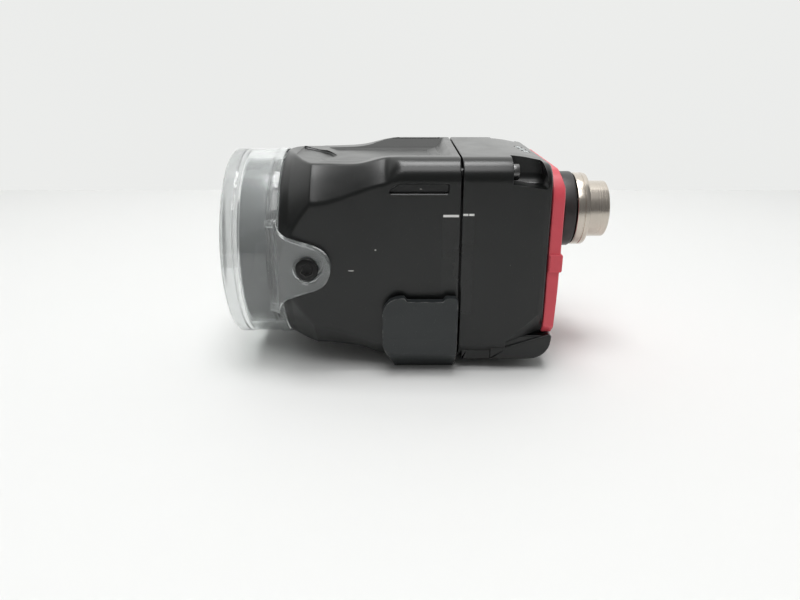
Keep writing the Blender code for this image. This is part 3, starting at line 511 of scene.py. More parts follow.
def makeScratchGroup():
    # Faint hairlines in two directions.
    tree, given, out = newGroup("hairScratches", [("Length", "value", 6.0), ("Amount", "value", 0.3)],
                                [("Mask", "value")])
    place = objectPlace(tree)
    lines = []
    for turn, shift in ((0.5, 0.0), (-0.9, 3.1)):
        scale = perMetre(tree, given["Length"])
        tilted = addNode(tree, "ShaderNodeMapping", {"Vector": place, "Rotation": (turn, shift, turn * 1.7)}).outputs[0]
        drawn = vectorMath(tree, "MULTIPLY", tilted, (1.0, 26.0, 9.0))
        noise = addNode(tree, "ShaderNodeTexNoise", {"Vector": drawn, "Scale": scale, "Detail": 3.0}).outputs["Fac"]
        lines.append(mapRange(tree, noise, 0.68, 0.74))
    mask = mathNode(tree, "MULTIPLY", mathNode(tree, "MAXIMUM", *lines), given["Amount"], clamp=True)
    tree.links.new(mask, out["Mask"])
    return tree


def makeSpotGroup():
    # One ragged spot at a place, for a chip in the paint.
    tree, given, out = newGroup("paintChip", [("Place", "vector", (0, 0, 0)), ("Size", "vector", (1, 1, 1))],
                                [("Mask", "value")])
    place = objectPlace(tree)
    centre = vectorMath(tree, "SUBTRACT", place, given["Place"])
    share = vectorMath(tree, "DIVIDE", centre, given["Size"])
    far = vectorMath(tree, "LENGTH", share)
    rough = addNode(tree, "ShaderNodeTexNoise", {"Vector": place, "Scale": 2200.0, "Detail": 3.0}).outputs["Fac"]
    ragged = mathNode(tree, "ADD", far, mathNode(tree, "MULTIPLY", rough, 1.1))
    mask = mapRange(tree, ragged, 1.6, 1.35)
    tree.links.new(mask, out["Mask"])
    return tree


def makeTurningGroup():
    # Fine rings that a lathe leaves around the plug axis.
    tree, given, out = newGroup("turningRings", [("Centre", "vector", (0, 0, 0)), ("Pitch", "value", 0.12)],
                                [("Rings", "value"), ("Faces", "value")])
    place = objectPlace(tree)
    centre = vectorMath(tree, "SUBTRACT", place, given["Centre"])
    parts = addNode(tree, "ShaderNodeSeparateXYZ", {0: centre}).outputs
    scale = perMetre(tree, given["Pitch"])
    along = addNode(tree, "ShaderNodeTexNoise", {"W": mathNode(tree, "MULTIPLY", parts["X"], scale), "Scale": 1.0,
                                                 "Detail": 2.0}, noise_dimensions="1D").outputs["Fac"]
    flat = addNode(tree, "ShaderNodeCombineXYZ", {1: parts["Y"], 2: parts["Z"]}).outputs[0]
    away = vectorMath(tree, "LENGTH", flat)
    face = addNode(tree, "ShaderNodeTexNoise", {"W": mathNode(tree, "MULTIPLY", away, scale), "Scale": 1.0,
                                                "Detail": 2.0}, noise_dimensions="1D").outputs["Fac"]
    tree.links.new(along, out["Rings"])
    tree.links.new(face, out["Faces"])
    return tree


skinMottle = makeMottleGroup()
edgeWear = makeEdgeGroup()
dustSpecks = makeSpeckGroup()
hairScratches = makeScratchGroup()
paintChip = makeSpotGroup()
turningRings = makeTurningGroup()


def mixColour(tree, factor, first, second):
    made = addNode(tree, "ShaderNodeMix", data_type="RGBA")
    for index, value in ((0, factor), (6, first), (7, second)):
        if isinstance(value, bpy.types.NodeSocket):
            tree.links.new(value, made.inputs[index])
        else:
            made.inputs[index].default_value = value
    return made.outputs[2]


def mixValue(tree, factor, first, second):
    return addNode(tree, "ShaderNodeMix", {0: factor, 2: first, 3: second}).outputs[0]


def boxMask(tree, low, high, soft=0.08):
    # 1 inside a box given in millimetres, with a soft rim.
    place = objectPlace(tree)
    parts = addNode(tree, "ShaderNodeSeparateXYZ", {0: place}).outputs
    mask = None
    for axis, (start, end) in enumerate(zip(metres(*low), metres(*high))):
        middle = (start + end) / 2
        half = (end - start) / 2
        away = mathNode(tree, "ABSOLUTE", mathNode(tree, "SUBTRACT", parts[axis], middle))
        inside = mapRange(tree, away, half + soft * mm / 2, half - soft * mm / 2)
        mask = inside if mask is None else mathNode(tree, "MULTIPLY", mask, inside)
    return mask


def skin(name, colour, roughness, specular=0.5, patch=8.0, patchStrength=0.25, grain=0.25, bump=0.05,
         edge=(0.3, 0.3), edgeColour=(0.3, 0.3, 0.3, 1), metallic=0.0, dust=0.25, scratches=0.12, chips=(), marks=(),
         film=None):
    # Painted or moulded skin with grain, smudges, rubbed edges, dust, hairlines and chips.
    material, tree, surface = newMaterial(name)
    mottle = useGroup(tree, skinMottle, {"Colour": (*colour, 1), "Patch Size": patch, "Patch Strength": patchStrength,
                                         "Grain Size": grain})
    tone = mottle["Colour"]
    edgeBand = useGroup(tree, edgeWear, {"Width": edge[0], "Amount": edge[1]})["Mask"]
    tone = mixColour(tree, edgeBand, tone, edgeColour)
    lines = useGroup(tree, hairScratches, {"Amount": scratches})["Mask"]
    tone = mixColour(tree, lines, tone, edgeColour)
    specks = useGroup(tree, dustSpecks, {"Amount": dust * 0.2, "Size": 0.045, "Spacing": 2.4})["Mask"]
    tone = mixColour(tree, mathNode(tree, "MULTIPLY", specks, 0.35), tone, (0.5, 0.5, 0.48, 1))
    rough = mixValue(tree, mottle["Smudge"], roughness * 0.92, min(1.0, roughness * 1.15))
    height = mottle["Grain"]
    if film:
        patchMask = boxMask(tree, *film)
        tone = mixColour(tree, mathNode(tree, "MULTIPLY", patchMask, 0.1), tone, (0.035, 0.037, 0.036, 1))
        rough = mixValue(tree, mathNode(tree, "MULTIPLY", patchMask, 0.25), rough, 0.2)
    bare = None
    for place, size in chips:
        spot = useGroup(tree, paintChip, {"Place": metres(*place), "Size": tuple(s * mm for s in size)})["Mask"]
        bare = spot if bare is None else mathNode(tree, "MAXIMUM", bare, spot)
    if bare is not None:
        tone = mixColour(tree, bare, tone, (0.45, 0.44, 0.42, 1))
        height = mathNode(tree, "SUBTRACT", height, mathNode(tree, "MULTIPLY", bare, 1.5))
    for low, high in marks:
        tone = mixColour(tree, boxMask(tree, low, high, 0.15), tone, (0.78, 0.78, 0.76, 1))
    relief = addNode(tree, "ShaderNodeBump", {"Height": height, "Strength": bump, "Distance": 0.05 * mm})
    shader = addNode(tree, "ShaderNodeBsdfPrincipled",
                     {"Base Color": tone, "Roughness": rough, "Metallic": metallic, "Specular IOR Level": specular,
                      "Normal": relief.outputs[0]})
    tree.links.new(shader.outputs[0], surface)
    return material


def turnedMetal(name, colour, roughness, centre, pitch=0.12, dirt=0.25):
    material, tree, surface = newMaterial(name)
    rings = useGroup(tree, turningRings, {"Centre": metres(*centre), "Pitch": pitch})
    mottle = useGroup(tree, skinMottle, {"Colour": (*colour, 1), "Patch Size": 5.0, "Patch Strength": 0.2,
                                         "Grain Size": 0.08})
    tone = mixColour(tree, mathNode(tree, "MULTIPLY", mottle["Smudge"], dirt), mottle["Colour"],
                     tuple(c * 0.6 for c in colour) + (1,))
    both = mathNode(tree, "ADD", rings["Rings"], rings["Faces"])
    rough = mapRange(tree, both, 0.6, 1.4, roughness * 0.8, roughness * 1.25)
    relief = addNode(tree, "ShaderNodeBump", {"Height": both, "Strength": 0.12, "Distance": 0.02 * mm})
    shader = addNode(tree, "ShaderNodeBsdfPrincipled", {"Base Color": tone, "Roughness": rough, "Metallic": 1.0,
                                                        "Normal": relief.outputs[0]})
    tree.links.new(shader.outputs[0], surface)
    return material


def clearMaterial(name, colour, roughness, haze, hazeColour, index=1.49, paintedEdgeHighlight=0.0):
    # Clear plastic: see-through with a little haze; shadow rays mostly pass. Its edges can be painted near-white, a
    # painted highlight for light caught in the rims.
    material, tree, surface = newMaterial(name)
    mottle = useGroup(tree, skinMottle, {"Colour": (*colour, 1), "Patch Size": 12.0, "Patch Strength": 0.06,
                                         "Grain Size": 0.5})
    lines = useGroup(tree, hairScratches, {"Amount": 0.05, "Length": 9.0})["Mask"]
    edgeBand = useGroup(tree, edgeWear, {"Width": 0.3, "Amount": paintedEdgeHighlight})["Mask"]
    rough = mathNode(tree, "ADD", mixValue(tree, mottle["Smudge"], roughness * 0.7, roughness * 1.5),
                     mathNode(tree, "MULTIPLY", lines, 0.1))
    relief = addNode(tree, "ShaderNodeBump", {"Height": mottle["Grain"], "Strength": 0.004, "Distance": 0.05 * mm})
    glass = addNode(tree, "ShaderNodeBsdfPrincipled", {"Base Color": mottle["Colour"], "Roughness": rough,
                                                       "Normal": relief.outputs[0], "IOR": index})
    glass.inputs["Transmission Weight"].default_value = 1.0
    # Painted highlight: where the edge mask is strong the plastic turns a near-white matte.
    hazeAndPaintedHighlightTone = mixColour(tree, edgeBand, hazeColour, (0.85, 0.86, 0.85, 1))
    matte = addNode(tree, "ShaderNodeBsdfPrincipled", {"Base Color": hazeAndPaintedHighlightTone, "Roughness": 0.35,
                                                       "Normal": relief.outputs[0]})
    share = mathNode(tree, "MAXIMUM", edgeBand, haze)
    cloudy = addNode(tree, "ShaderNodeMixShader", {0: share, 1: glass.outputs[0], 2: matte.outputs[0]})
    through = addNode(tree, "ShaderNodeBsdfTransparent", {"Color": (0.8, 0.82, 0.81, 1)})
    shadow = addNode(tree, "ShaderNodeLightPath").outputs["Is Shadow Ray"]
    final = addNode(tree, "ShaderNodeMixShader", {0: shadow, 1: cloudy.outputs[0], 2: through.outputs[0]})
    tree.links.new(final.outputs[0], surface)
    return material


chipPlaces = [
    ((4.6, -21.5, 22.9), (0.9, 0.9, 0.45)),
    ((1.6, -24.9, 19.3), (0.8, 0.5, 0.22)),
    ((0.0, -24.6, 18.7), (0.6, 1.2, 0.28)),
    ((7.9, -22.9, 21.5), (0.3, 0.6, 0.25)),
    ((-10.9, -25.0, 4.3), (0.22, 0.5, 0.2)),
    ((-16.9, -25.0, -0.9), (0.7, 0.5, 0.16)),
]
markPlaces = [((5.2, -25.4, 12.35), (8.9, -24.6, 12.9)), ((9.9, -25.4, 12.65), (11.1, -24.6, 13.15)),
              ((11.3, -25.4, 12.65), (12.5, -24.6, 13.15))]
filmPlace = ((5.0, -25.4, -12.0), (12.5, -24.6, 12.6))

materials = {
    "body_paint": skin("bodyPaint", (0.0045, 0.0052, 0.005), 0.3, 0.46, grain=0.35, bump=0.08,
                       edge=(0.35, 0.3), edgeColour=(0.12, 0.125, 0.12, 1), chips=chipPlaces, marks=markPlaces,
                       film=filmPlace),
    "rear_body_paint": skin("rearBodyPaint", (0.0045, 0.0052, 0.005), 0.3, 0.46, grain=0.35, bump=0.08,
                            edge=(0.35, 0.3), edgeColour=(0.12, 0.125, 0.12, 1), marks=markPlaces, film=filmPlace),
    "shoe_paint": skin("shoePaint", (0.019, 0.0225, 0.0235), 0.42, 0.46, grain=0.3, bump=0.15, edge=(0.4, 0.55),
                       edgeColour=(0.25, 0.25, 0.24, 1)),
    "screw_black": skin("blackSteel", (0.02, 0.02, 0.02), 0.32, 0.5, patch=2.0, grain=0.1, bump=0.2,
                        edge=(0.2, 0.6), edgeColour=(0.3, 0.3, 0.29, 1), metallic=0.85),
    "screw_steel": skin("plainSteel", (0.16, 0.16, 0.16), 0.3, 0.5, patch=2.0, grain=0.1, bump=0.2,
                        edge=(0.2, 0.4), edgeColour=(0.5, 0.5, 0.49, 1), metallic=1.0),
    "seal_rubber": skin("sealRubber", (0.015, 0.015, 0.015), 0.75, 0.3, grain=0.2, bump=0.3, edge=(0.2, 0.1)),
    "red_plastic": skin("redPlastic", (0.66, 0.075, 0.1), 0.42, 0.45, patch=6.0, patchStrength=0.16, grain=0.25,
                        bump=0.25, edge=(0.35, 0.4), edgeColour=(0.75, 0.16, 0.2, 1)),
    "base_plastic": skin("basePlastic", (0.02, 0.019, 0.019), 0.42, 0.5, grain=0.2, bump=0.25, edge=(0.25, 0.3),
                         edgeColour=(0.15, 0.15, 0.15, 1)),
    "nickel": turnedMetal("turnedNickel", (0.56, 0.51, 0.45), 0.24, socketCentre, 0.3),
    "insert_plastic": skin("insertPlastic", (0.016, 0.016, 0.017), 0.5, 0.4, grain=0.15, bump=0.2),
    "lens_black": skin("lensBlack", (0.015, 0.015, 0.016), 0.38, 0.5, grain=0.15, bump=0.2, edge=(0.2, 0.3)),
    "shroud_grey": skin("shroudGrey", (0.05, 0.052, 0.054), 0.28, 0.4, patch=10, patchStrength=0.12, grain=0.3,
                        bump=0.1,
                        edge=(0.3, 0.2)),
    "board_green": skin("boardGreen", (0.015, 0.09, 0.045), 0.4, 0.5, patch=3.0, grain=0.2, bump=0.2),
    "light_white": skin("lightWhite", (0.82, 0.80, 0.66), 0.4, 0.5, patch=1.0, patchStrength=0.15, grain=0.2, bump=0.1),
    "chip_black": skin("chipBlack", (0.02, 0.02, 0.021), 0.45, 0.4, grain=0.15, bump=0.2),
    "post_brass": turnedMetal("postBrass", (0.72, 0.52, 0.22), 0.3, (0, 0, 0), 0.2),
    "window_plastic": skin("windowPlastic", (0.42, 0.46, 0.46), 0.18, 0.5, patch=1.5, patchStrength=0.2,
                           grain=0.2, bump=0.05),
    # The cover's edges get a painted highlight, near-white, for the bright rims.
    "clear_cover": clearMaterial("clearCover", (0.93, 0.95, 0.945), 0.06, 0.16, (0.5, 0.52, 0.52, 1), paintedEdgeHighlight=0.6),
    "lens_glass": clearMaterial("lensGlass", (0.9, 0.95, 1.0), 0.01, 0.0, (0.2, 0.2, 0.25, 1), 1.6),
}
print("materials ready")


# Front housing.
frontSizes = {
    "halfWidth": 25.0,
    "faces": (25.0, 25.75, 25.0, 25.3),
    "bottomLine": [(9.3, 25.3), (-9.0, 25.3), (-10.5, 25.0), (-12.0, 24.1), (-13.5, 23.2), (-16.0, 22.6), (-21.0, 22.4),
                   (-26.4, 22.3), (-28.5, 22.6), (-31.9, 24.0), (-34.6, 24.9)],
    "cornerRadius": 5.4,
    "partingX": 9.3,
    "rim": 0.35,
    "flareEnds": (-5.0, -26.3),
    "flareRadii": (32.4, 29.35),
    "shoulderStart": -8.5,
    "shoulderRise": 1.6,
    "reach": [(-26.3, 29.35), (-26.9, 29.0), (-31.7, 26.02), (-32.0, 25.85), (-33.9, 25.0), (-34.2, 24.75)],
    "topLine": [(9.3, 25.74), (-6.0, 25.74), (-8.0, 25.6), (-10.0, 25.2), (-13.5, 24.28), (-15.5, 23.95), (-17.5, 23.8),
                (-26.4, 23.7), (-28.5, 23.9), (-31.9, 24.9), (-34.6, 25.0)],
    "blend": 0.45,
}


def alongLine(line, x, soft=0.0):
    # Height of a broken line at x; soft rounds its corners.
    if soft:
        return sum(alongLine(line, x + soft * step / 4) for step in range(-4, 5)) / 9
    if x >= line[0][0]:
        return line[0][1]
    for (x0, v0), (x1, v1) in zip(line, line[1:]):
        if x >= x1:
            return v0 + (v1 - v0) * (x - x0) / (x1 - x0)
    return line[-1][1]


def eased(share):
    share = min(max(share, 0.0), 1.0)
    return share * share * (3 - 2 * share)


def flareReach(x):
    # Radius of the flare: an S-curve from the cone's edge to the square body.
    start, end = frontSizes["flareEnds"]
    wide, narrow = frontSizes["flareRadii"]
    if x < end:
        return alongLine(frontSizes["reach"], x)
    shoulder = frontSizes["shoulderRise"] * eased((x - frontSizes["shoulderStart"]) / 4.0)
    if x > -4.5:
        shoulder += 0.2 * (x + 4.5)
    return wide + (narrow - wide) * eased((x - start) / (end - start)) + shoulder


def smallerOf(a, b, blend):
    close = max(blend - abs(a - b), 0) / blend
    return min(a, b) - close * close * blend / 4


def squareReach(angle, side, top, corner):
    # Distance from the axis to a square with rounded corners, angle from the side's normal.
    flat = side / math.cos(angle) if angle < math.pi / 2 - 1e-6 else 1e9
    roof = top / math.sin(angle) if angle > 1e-6 else 1e9
    centre = Vector((side - corner, top - corner))
    ray = Vector((math.cos(angle), math.sin(angle)))
    middle = centre.dot(ray)
    root = middle * middle - centre.length_squared + corner * corner
    if root > 0:
        hit = ray * (middle + math.sqrt(root))
        if hit.x >= centre.x - 1e-9 and hit.y >= centre.y - 1e-9:
            return middle + math.sqrt(root)
    return min(flat, roof)


def housingQuarter(side, top, reach, corner, blend):
    # (angle, distance) over a quarter, from a side's normal to the top's; columns follow the edges.
    first = math.atan2(top - corner, side)
    last = math.atan2(top, side - corner)
    if reach > side:
        first = min(first, math.acos(side / reach))
    else:
        first = 0.05
    if reach > top:
        last = max(last, math.pi / 2 - math.acos(top / reach))
    else:
        last = math.pi / 2 - 0.05
    slope = max(reach * math.tan(max(first, 0.06)), 1.5)
    spread = min(blend * 1.3 / slope, first * 0.6, (last - first) * 0.35)
    stops = [(0, 0), (first - spread, 12), (first + spread, 6), (last - spread, 14), (last + spread, 6),
             (quarterTurn, 12)]
    points = []
    for (start, _), (end, count) in zip(stops, stops[1:]):
        for i in range(count):
            angle = start + (end - start) * i / count
            points.append((angle, smallerOf(squareReach(angle, side, top, corner), reach, blend)))
    return points


def housingRing(x, inset=0.0):
    sizes = frontSizes
    reach = flareReach(x) - inset
    side = sizes["halfWidth"] - inset
    top = alongLine(sizes["topLine"], x, 1.2) - inset
    bottom = alongLine(sizes["bottomLine"], x, 1.2) - inset
    ring = []
    upper = housingQuarter(side, top, reach, sizes["cornerRadius"], sizes["blend"])
    lower = housingQuarter(side, bottom, reach, sizes["cornerRadius"], sizes["blend"])
    for angle, distance in upper:
        ring.append((x, distance * math.cos(angle), distance * math.sin(angle)))
    straight = smallerOf(top, reach, sizes["blend"])
    ring.append((x, 0.0, straight))
    for angle, distance in reversed(upper[1:]):
        ring.append((x, -distance * math.cos(angle), distance * math.sin(angle)))
    for angle, distance in lower:
        ring.append((x, -distance * math.cos(angle), -distance * math.sin(angle)))
    straight = smallerOf(bottom, reach, sizes["blend"])
    ring.append((x, 0.0, -straight))
    for angle, distance in reversed(lower[1:]):
        ring.append((x, distance * math.cos(angle), -distance * math.sin(angle)))
    return ring


def slotTool(turn):
    outline = rounded([(-8.3, 17.85, 0.4), (6.5, 17.85, 0.5), (6.5, 20.05, 0.5), (-5.2, 20.05, 0.5)], 4)
    half = frontSizes["faces"][turn]
    tool = slab("slotTool", outline, "Y", [(-half - 2, 0.22), (-half - 0.02, 0.22), (-half + 0.2, 0.0),
                                           (-half + 1.25, 0.0), (-half + 1.4, -0.15)])
    middle = Matrix.Translation(metres(0, 0, 0))
    tool.data.transform(middle @ Matrix.Rotation(-turn * math.pi / 2, 4, "X") @ middle.inverted())
    return tool


def scoopTool():
    # Thumb hollow behind the collar: round rear wall, floor falling to the rear.
    outline = arc((-30.4, 0), 8.6, -96, 96, 40)
    rings = []
    for lift, growth in ((0.0, -0.7), (0.12, -0.35), (0.4, -0.1), (0.9, 0.0), (1.6, 0.35), (6.0, 0.6)):
        ring = []
        for x, y in offsetOutline(outline, growth):
            floor = 24.3 + (22.3 - 24.3) * (x + 33.0) / 12.0
            ring.append((x, y, floor + lift))
        rings.append(ring)
    return loft("scoopTool", rings)


def panelTool():
    # Long field between two shoulders that lean inwards, ramps at both ends.
    section = rounded([(-11.2, 23.2, 0.9), (11.2, 23.2, 0.9), (13.0, 23.95, 0.6), (19.4, 26.2, 0.1), (-19.4, 26.2, 0.1),
                       (-13.0, 23.95, 0.6)], 6)
    tool = slab("panelTool", section, "X", [(-30, 0), (9, 0)])
    run = rounded([(2.6, 22.0, 0.1), (2.6, 23.21, 0.1), (5.4, 23.9, 2.5), (8.0, 26.3, 0.1), (-30.0, 26.3, 0.1),
                   (-27.0, 24.2, 0.1), (-22.5, 23.19, 0.1), (-22.5, 22.0, 0.1)], 6)
    trim(tool, slab("panelRun", run, "Y", [(-30, 0), (30, 0)]))
    return tool


def makeFrontHousing():
    stations = [-34.2, -34.05, -33.8, -33.0, -32.1, -31.9, -31.7, -31.0, -29.0, -27.3, -26.8, -26.55, -26.35, -26.1]
    stations += [-26.1 + 18.6 * i / 30 for i in range(1, 31)]
    stations += [-7.0 + i * 1.5 for i in range(0, 11)]
    rings = [housingRing(x) for x in stations]
    rim = frontSizes["rim"]
    for i in range(5):
        angle = math.pi / 2 * i / 4
        rings.append(housingRing(frontSizes["partingX"] - rim + rim * math.sin(angle), rim * (1 - math.cos(angle))))
    body = loft("frontHousing", rings)
    weld(body, turned("spigot", [(-34.0, 0), (-34.0, 22.1), (-36.8, 22.1), (-37.0, 21.9), (-37.0, 0)], 128))
    carve(body, slab("room", squareInCircle(21.5, 26.4), "X", [(-23.9, 0), (12.0, 0)]))
    carve(body, turned("bay", [(-20.0, 0), (-20.0, 9.0), (-25.7, 9.0), (-25.7, 20.4), (-40.0, 20.4), (-40.0, 0)], 128))
    carve(body, turned("sealGroove", [(-35.05, 24.0), (-36.75, 24.0), (-36.75, 20.9), (-35.05, 20.9)], 128))
    for turn in range(4):
        carve(body, slotTool(turn))
    carve(body, scoopTool())
    carve(body, panelTool())
    for side in (-1, 1):
        carve(body, rod("earHole", 1.8, 21.3, 26.0, 32, "Y", (coverScrewX, 0, 0), side))
        carve(body, rod("shoeHole", 1.8, -27, -19.7, 32, "Z", (0, side * shoeSizes["screwY"], 0)))
    return finishPiece(body, "body_paint", "front_housing")


makeFrontHousing()
print("front housing ready")


# Rear housing.
rearSizes = {
    "start": 9.7,
    "end": 30.7,
    "halfWidth": 25.0,
    "cornerRadius": 5.4,
    "topLine": [(30.7, 24.2), (29.0, 24.5), (27.0, 24.9), (24.5, 25.4), (21.3, 25.74), (9.0, 25.74)],
    "rim": 0.35,
    "rearRim": 0.9,
    "screwY": 20.8,
    "screwHeights": (-21.7, 22.25),
    "bossEnd": 21.3,
}


def rearOutline(x, inset):
    top = alongLine(rearSizes["topLine"], x, 1.0)
    half = rearSizes["halfWidth"]
    low = -25.3
    corner = rearSizes["cornerRadius"]
    right = [(20.6, low, 0.6), (22.9, -23.6, 0.6), (half, -20.7, 1.0), (half, top, corner)]
    outline = rounded(right + [(-y, z, bend) for y, z, bend in reversed(right)], 12)
    return offsetOutline(outline, -inset) if inset else outline


def makeRearHousing():
    sizes = rearSizes
    levels = []
    for i in range(5):
        angle = math.pi / 2 * i / 4
        levels.append((sizes["start"] + sizes["rim"] * (1 - math.sin(angle)), sizes["rim"] * (1 - math.cos(angle))))
    levels.sort()
    levels += [(x, 0.0) for x in (12.0, 15.0, 18.0, 20.5, 22.0, 23.0, 24.0, 25.0, 26.0, 27.0, 28.0, 29.0)]
    for i in range(6):
        angle = math.pi / 2 * i / 5
        rim = sizes["rearRim"]
        levels.append((sizes["end"] - rim * (1 - math.sin(angle)), rim * (1 - math.cos(angle))))
    rings = [[(x, y, z) for y, z in rearOutline(x, inset)] for x, inset in levels]
    body = loft("rearHousing", rings)
    # The slanted lower corners, with the light chamfer beside them.
    wide = [(21.6, -32), (21.6, -19.5), (29.8, -11.9), (31.1, -8.5), (31.4, -3.4), (45.0, -3.4), (45.0, -32)]
    deep = [(21.6, -32), (21.6, -21.3), (29.8, -17.5), (31.1, -16.9), (31.4, -16.8), (45.0, -10.0), (45.0, -32)]
    for side in (-1, 1):
        rings = []
        for y, outline in ((30.0, wide), (25.02, wide), (22.9, deep), (21.0, deep)):
            rings.append([(x, side * y, z) for x, z in outline])
        carve(body, loft("lowerCorner", rings))
    lump = rounded([(10.6, -25.28, 0.1), (33.6, -25.28, 6.0), (33.6, -18.6, 0.6), (10.6, -18.6, 0.1)], 12)
    weld(body, slab("lump", lump, "Y", roundedLevels(-23.5, 23.5, 0.5, 4)))
    cheek = rounded([(18.0, -24.9, 0.1), (33.0, -24.9, 5.0), (33.4, -17.9, 0.8), (22.3, -21.5, 0.4),
                     (18.0, -21.5, 0.1)], 8)
    for side in (-1, 1):
        low, high = sorted((side * 21.9, side * 24.1))
        weld(body, slab("lumpCheek", cheek, "Y", roundedLevels(low, high, 0.4, 4)))
    carve(body, slab("cavity", squareInCircle(21.5, 26.4), "X", [(7.0, 0), (20.3, 0)]))
    carve(body, slab("bay", squareInCircle(20.5, 24.0), "X", [(19.3, 0), (28.3, 0)]))
    for y in (-sizes["screwY"], sizes["screwY"]):
        for z in sizes["screwHeights"]:
            carve(body, rod("screwHole", 1.3, 8.0, 24.0, 32, "X", (0, y, z)))
            if z < 0:
                carve(body, rod("screwTunnel", 2.05, sizes["bossEnd"], 40, 48, "X", (0, y, z)))
    for side in (-1, 1):
        section = rounded([(side * 17.4, 18.7, 3.0), (side * 32, 18.7, 0.1), (side * 32, 32, 0.1),
                           (side * 17.4, 32, 0.1)], 10)
        trough = slab("trough", section, "X", [(sizes["bossEnd"], 0), (45, 0)])
        run = rounded([(20.0, 20.0, 0.1), (21.6, 20.0, 0.1), (30.2, 18.7, 0.9), (28.8, 24.0, 6.0), (27.0, 31, 0.1),
                       (20.0, 31, 0.1)], 8)
        trim(trough, slab("troughRun", run, "Y", [(-40, 0), (40, 0)]))
        carve(body, trough)
    carve(body, rod("neckHole", 7.9, 25, 40, 64, "X", socketCentre))
    for x, y in ((27.6, -3.6), (27.2, 0.0), (26.8, 3.6)):
        carve(body, rod("windowHole", 1.25, 20, 30, 32, "Z", (x, y, 0)))
    finishPiece(body, "rear_body_paint", "rear_housing")
    seal = slab("bodySeal", squareInCircle(24.15, 27.7), "X", [(9.34, 0), (10.5, 0)])
    carve(seal, slab("sealInside", squareInCircle(23.55, 27.1), "X", [(8, 0), (12, 0)]))
    return finishPiece(seal, "seal_rubber", "body_seal")


makeRearHousing()
print("rear housing ready")


# Red rear cover.
coverPlate = {
    "halfWidth": 24.0,
    "top": 22.6,
    "bottom": -18.3,
    "shoulder": 7.0,
    "bossRadius": 10.25,
    "lowerBevel": 2.2,
}


def makeRearCover():
    sizes = coverPlate
    half = sizes["halfWidth"]
    bevel = sizes["lowerBevel"]
    right = [(half - bevel, sizes["bottom"], 0.6), (half, sizes["bottom"] + bevel, 0.8),
             (half, sizes["top"], sizes["shoulder"])]
    outline = rounded(right + [(-y, z, bend) for y, z, bend in reversed(right)], 12)
    plate = slab("rearCover", outline, "X", [(31.0, -0.25), (31.12, -0.08), (31.4, 0.0), (33.5, 0.0), (33.8, -0.1),
                                             (33.95, -0.3), (34.0, -0.55)])
    lean = rounded([(30, -30, 0.1), (33.0, -30, 0.1), (34.02, -4, 8.0), (34.02, 18.5, 4.0), (33.1, 21.6, 1.0),
                    (31.6, 30, 0.1), (30, 30, 0.1)], 8)
    trim(plate, slab("lean", lean, "Y", [(-30, 0), (30, 0)]))
    for side in (-1, 1):
        outline = rounded([(31.1, -1.6, 0.2), (34.45, -1.6, 0.5), (34.45, 2.9, 0.5), (31.1, 2.9, 0.2)], 4)
        low, high = sorted((side * 22.0, side * 24.5))
        weld(plate, slab("tab", outline, "Y", roundedLevels(low, high, 0.3)))
    radius = sizes["bossRadius"]
    boss = [(37.25, 0), (37.25, radius - 0.5), (37.1, radius - 0.15), (36.75, radius), (34.9, radius),
            (34.3, radius + 0.25), (33.9, radius + 1.0), (33.0, radius + 1.0), (33.0, 0)]
    weld(plate, turned("boss", boss, 128, "X", socketCentre))
    carve(plate, rod("plateHole", 7.9, 28, 45, 64, "X", socketCentre))
    return finishPiece(plate, "red_plastic", "rear_cover")


makeRearCover()
print("rear cover ready")


# Plug socket.
def makeSocket():
    base = [(40.8, 6.5), (40.8, 9.5), (40.65, 9.85), (40.3, 10.0), (38.0, 10.0), (37.65, 9.85), (37.55, 9.6),
            (37.55, 7.6), (26.0, 7.6), (26.0, 6.5)]
    finishPiece(turned("socketBase", base, 128, "X", socketCentre), "base_plastic", "socket_base")
    shell = [(50.1, 6.15), (50.1, 7.15), (49.95, 7.4), (49.7, 7.5), (44.75, 7.5), (44.6, 7.6), (44.55, 7.75),
             (44.55, 9.1),
             (44.4, 9.5), (44.0, 9.65), (43.2, 9.65), (43.1, 9.5), (42.9, 9.5), (42.8, 9.65), (41.5, 9.65), (41.2, 9.5),
             (41.1, 9.25), (41.1, 6.2), (24.5, 6.2), (24.5, 5.2), (38.6, 5.2), (39.6, 5.9), (49.85, 5.9)]
    finishPiece(turned("socketShell", shell, 128, "X", socketCentre), "nickel", "socket_shell")
    insert = [(44.6, 0), (44.6, 5.2), (44.5, 5.45), (44.2, 5.6), (40.0, 5.6), (39.0, 4.9), (24.0, 4.9), (24.0, 0)]
    core = turned("socketInsert", insert, 96, "X", socketCentre)
    places = []
    for count, radius in ((8, 3.6), (4, 1.5)):
        for i in range(count):
            angle = math.radians(360 * i / count + 22.5)
            places.append((0, radius * math.cos(angle), socketZ + radius * math.sin(angle)))
    for place in places:
        hole = [(46, 0), (46, 0.75), (44.61, 0.75), (44.35, 0.5), (41.0, 0.5), (41.0, 0)]
        carve(core, turned("contactHole", hole, 20, "X", place))
    finishPiece(core, "insert_plastic", "socket_insert")


makeSocket()
print("plug socket ready")


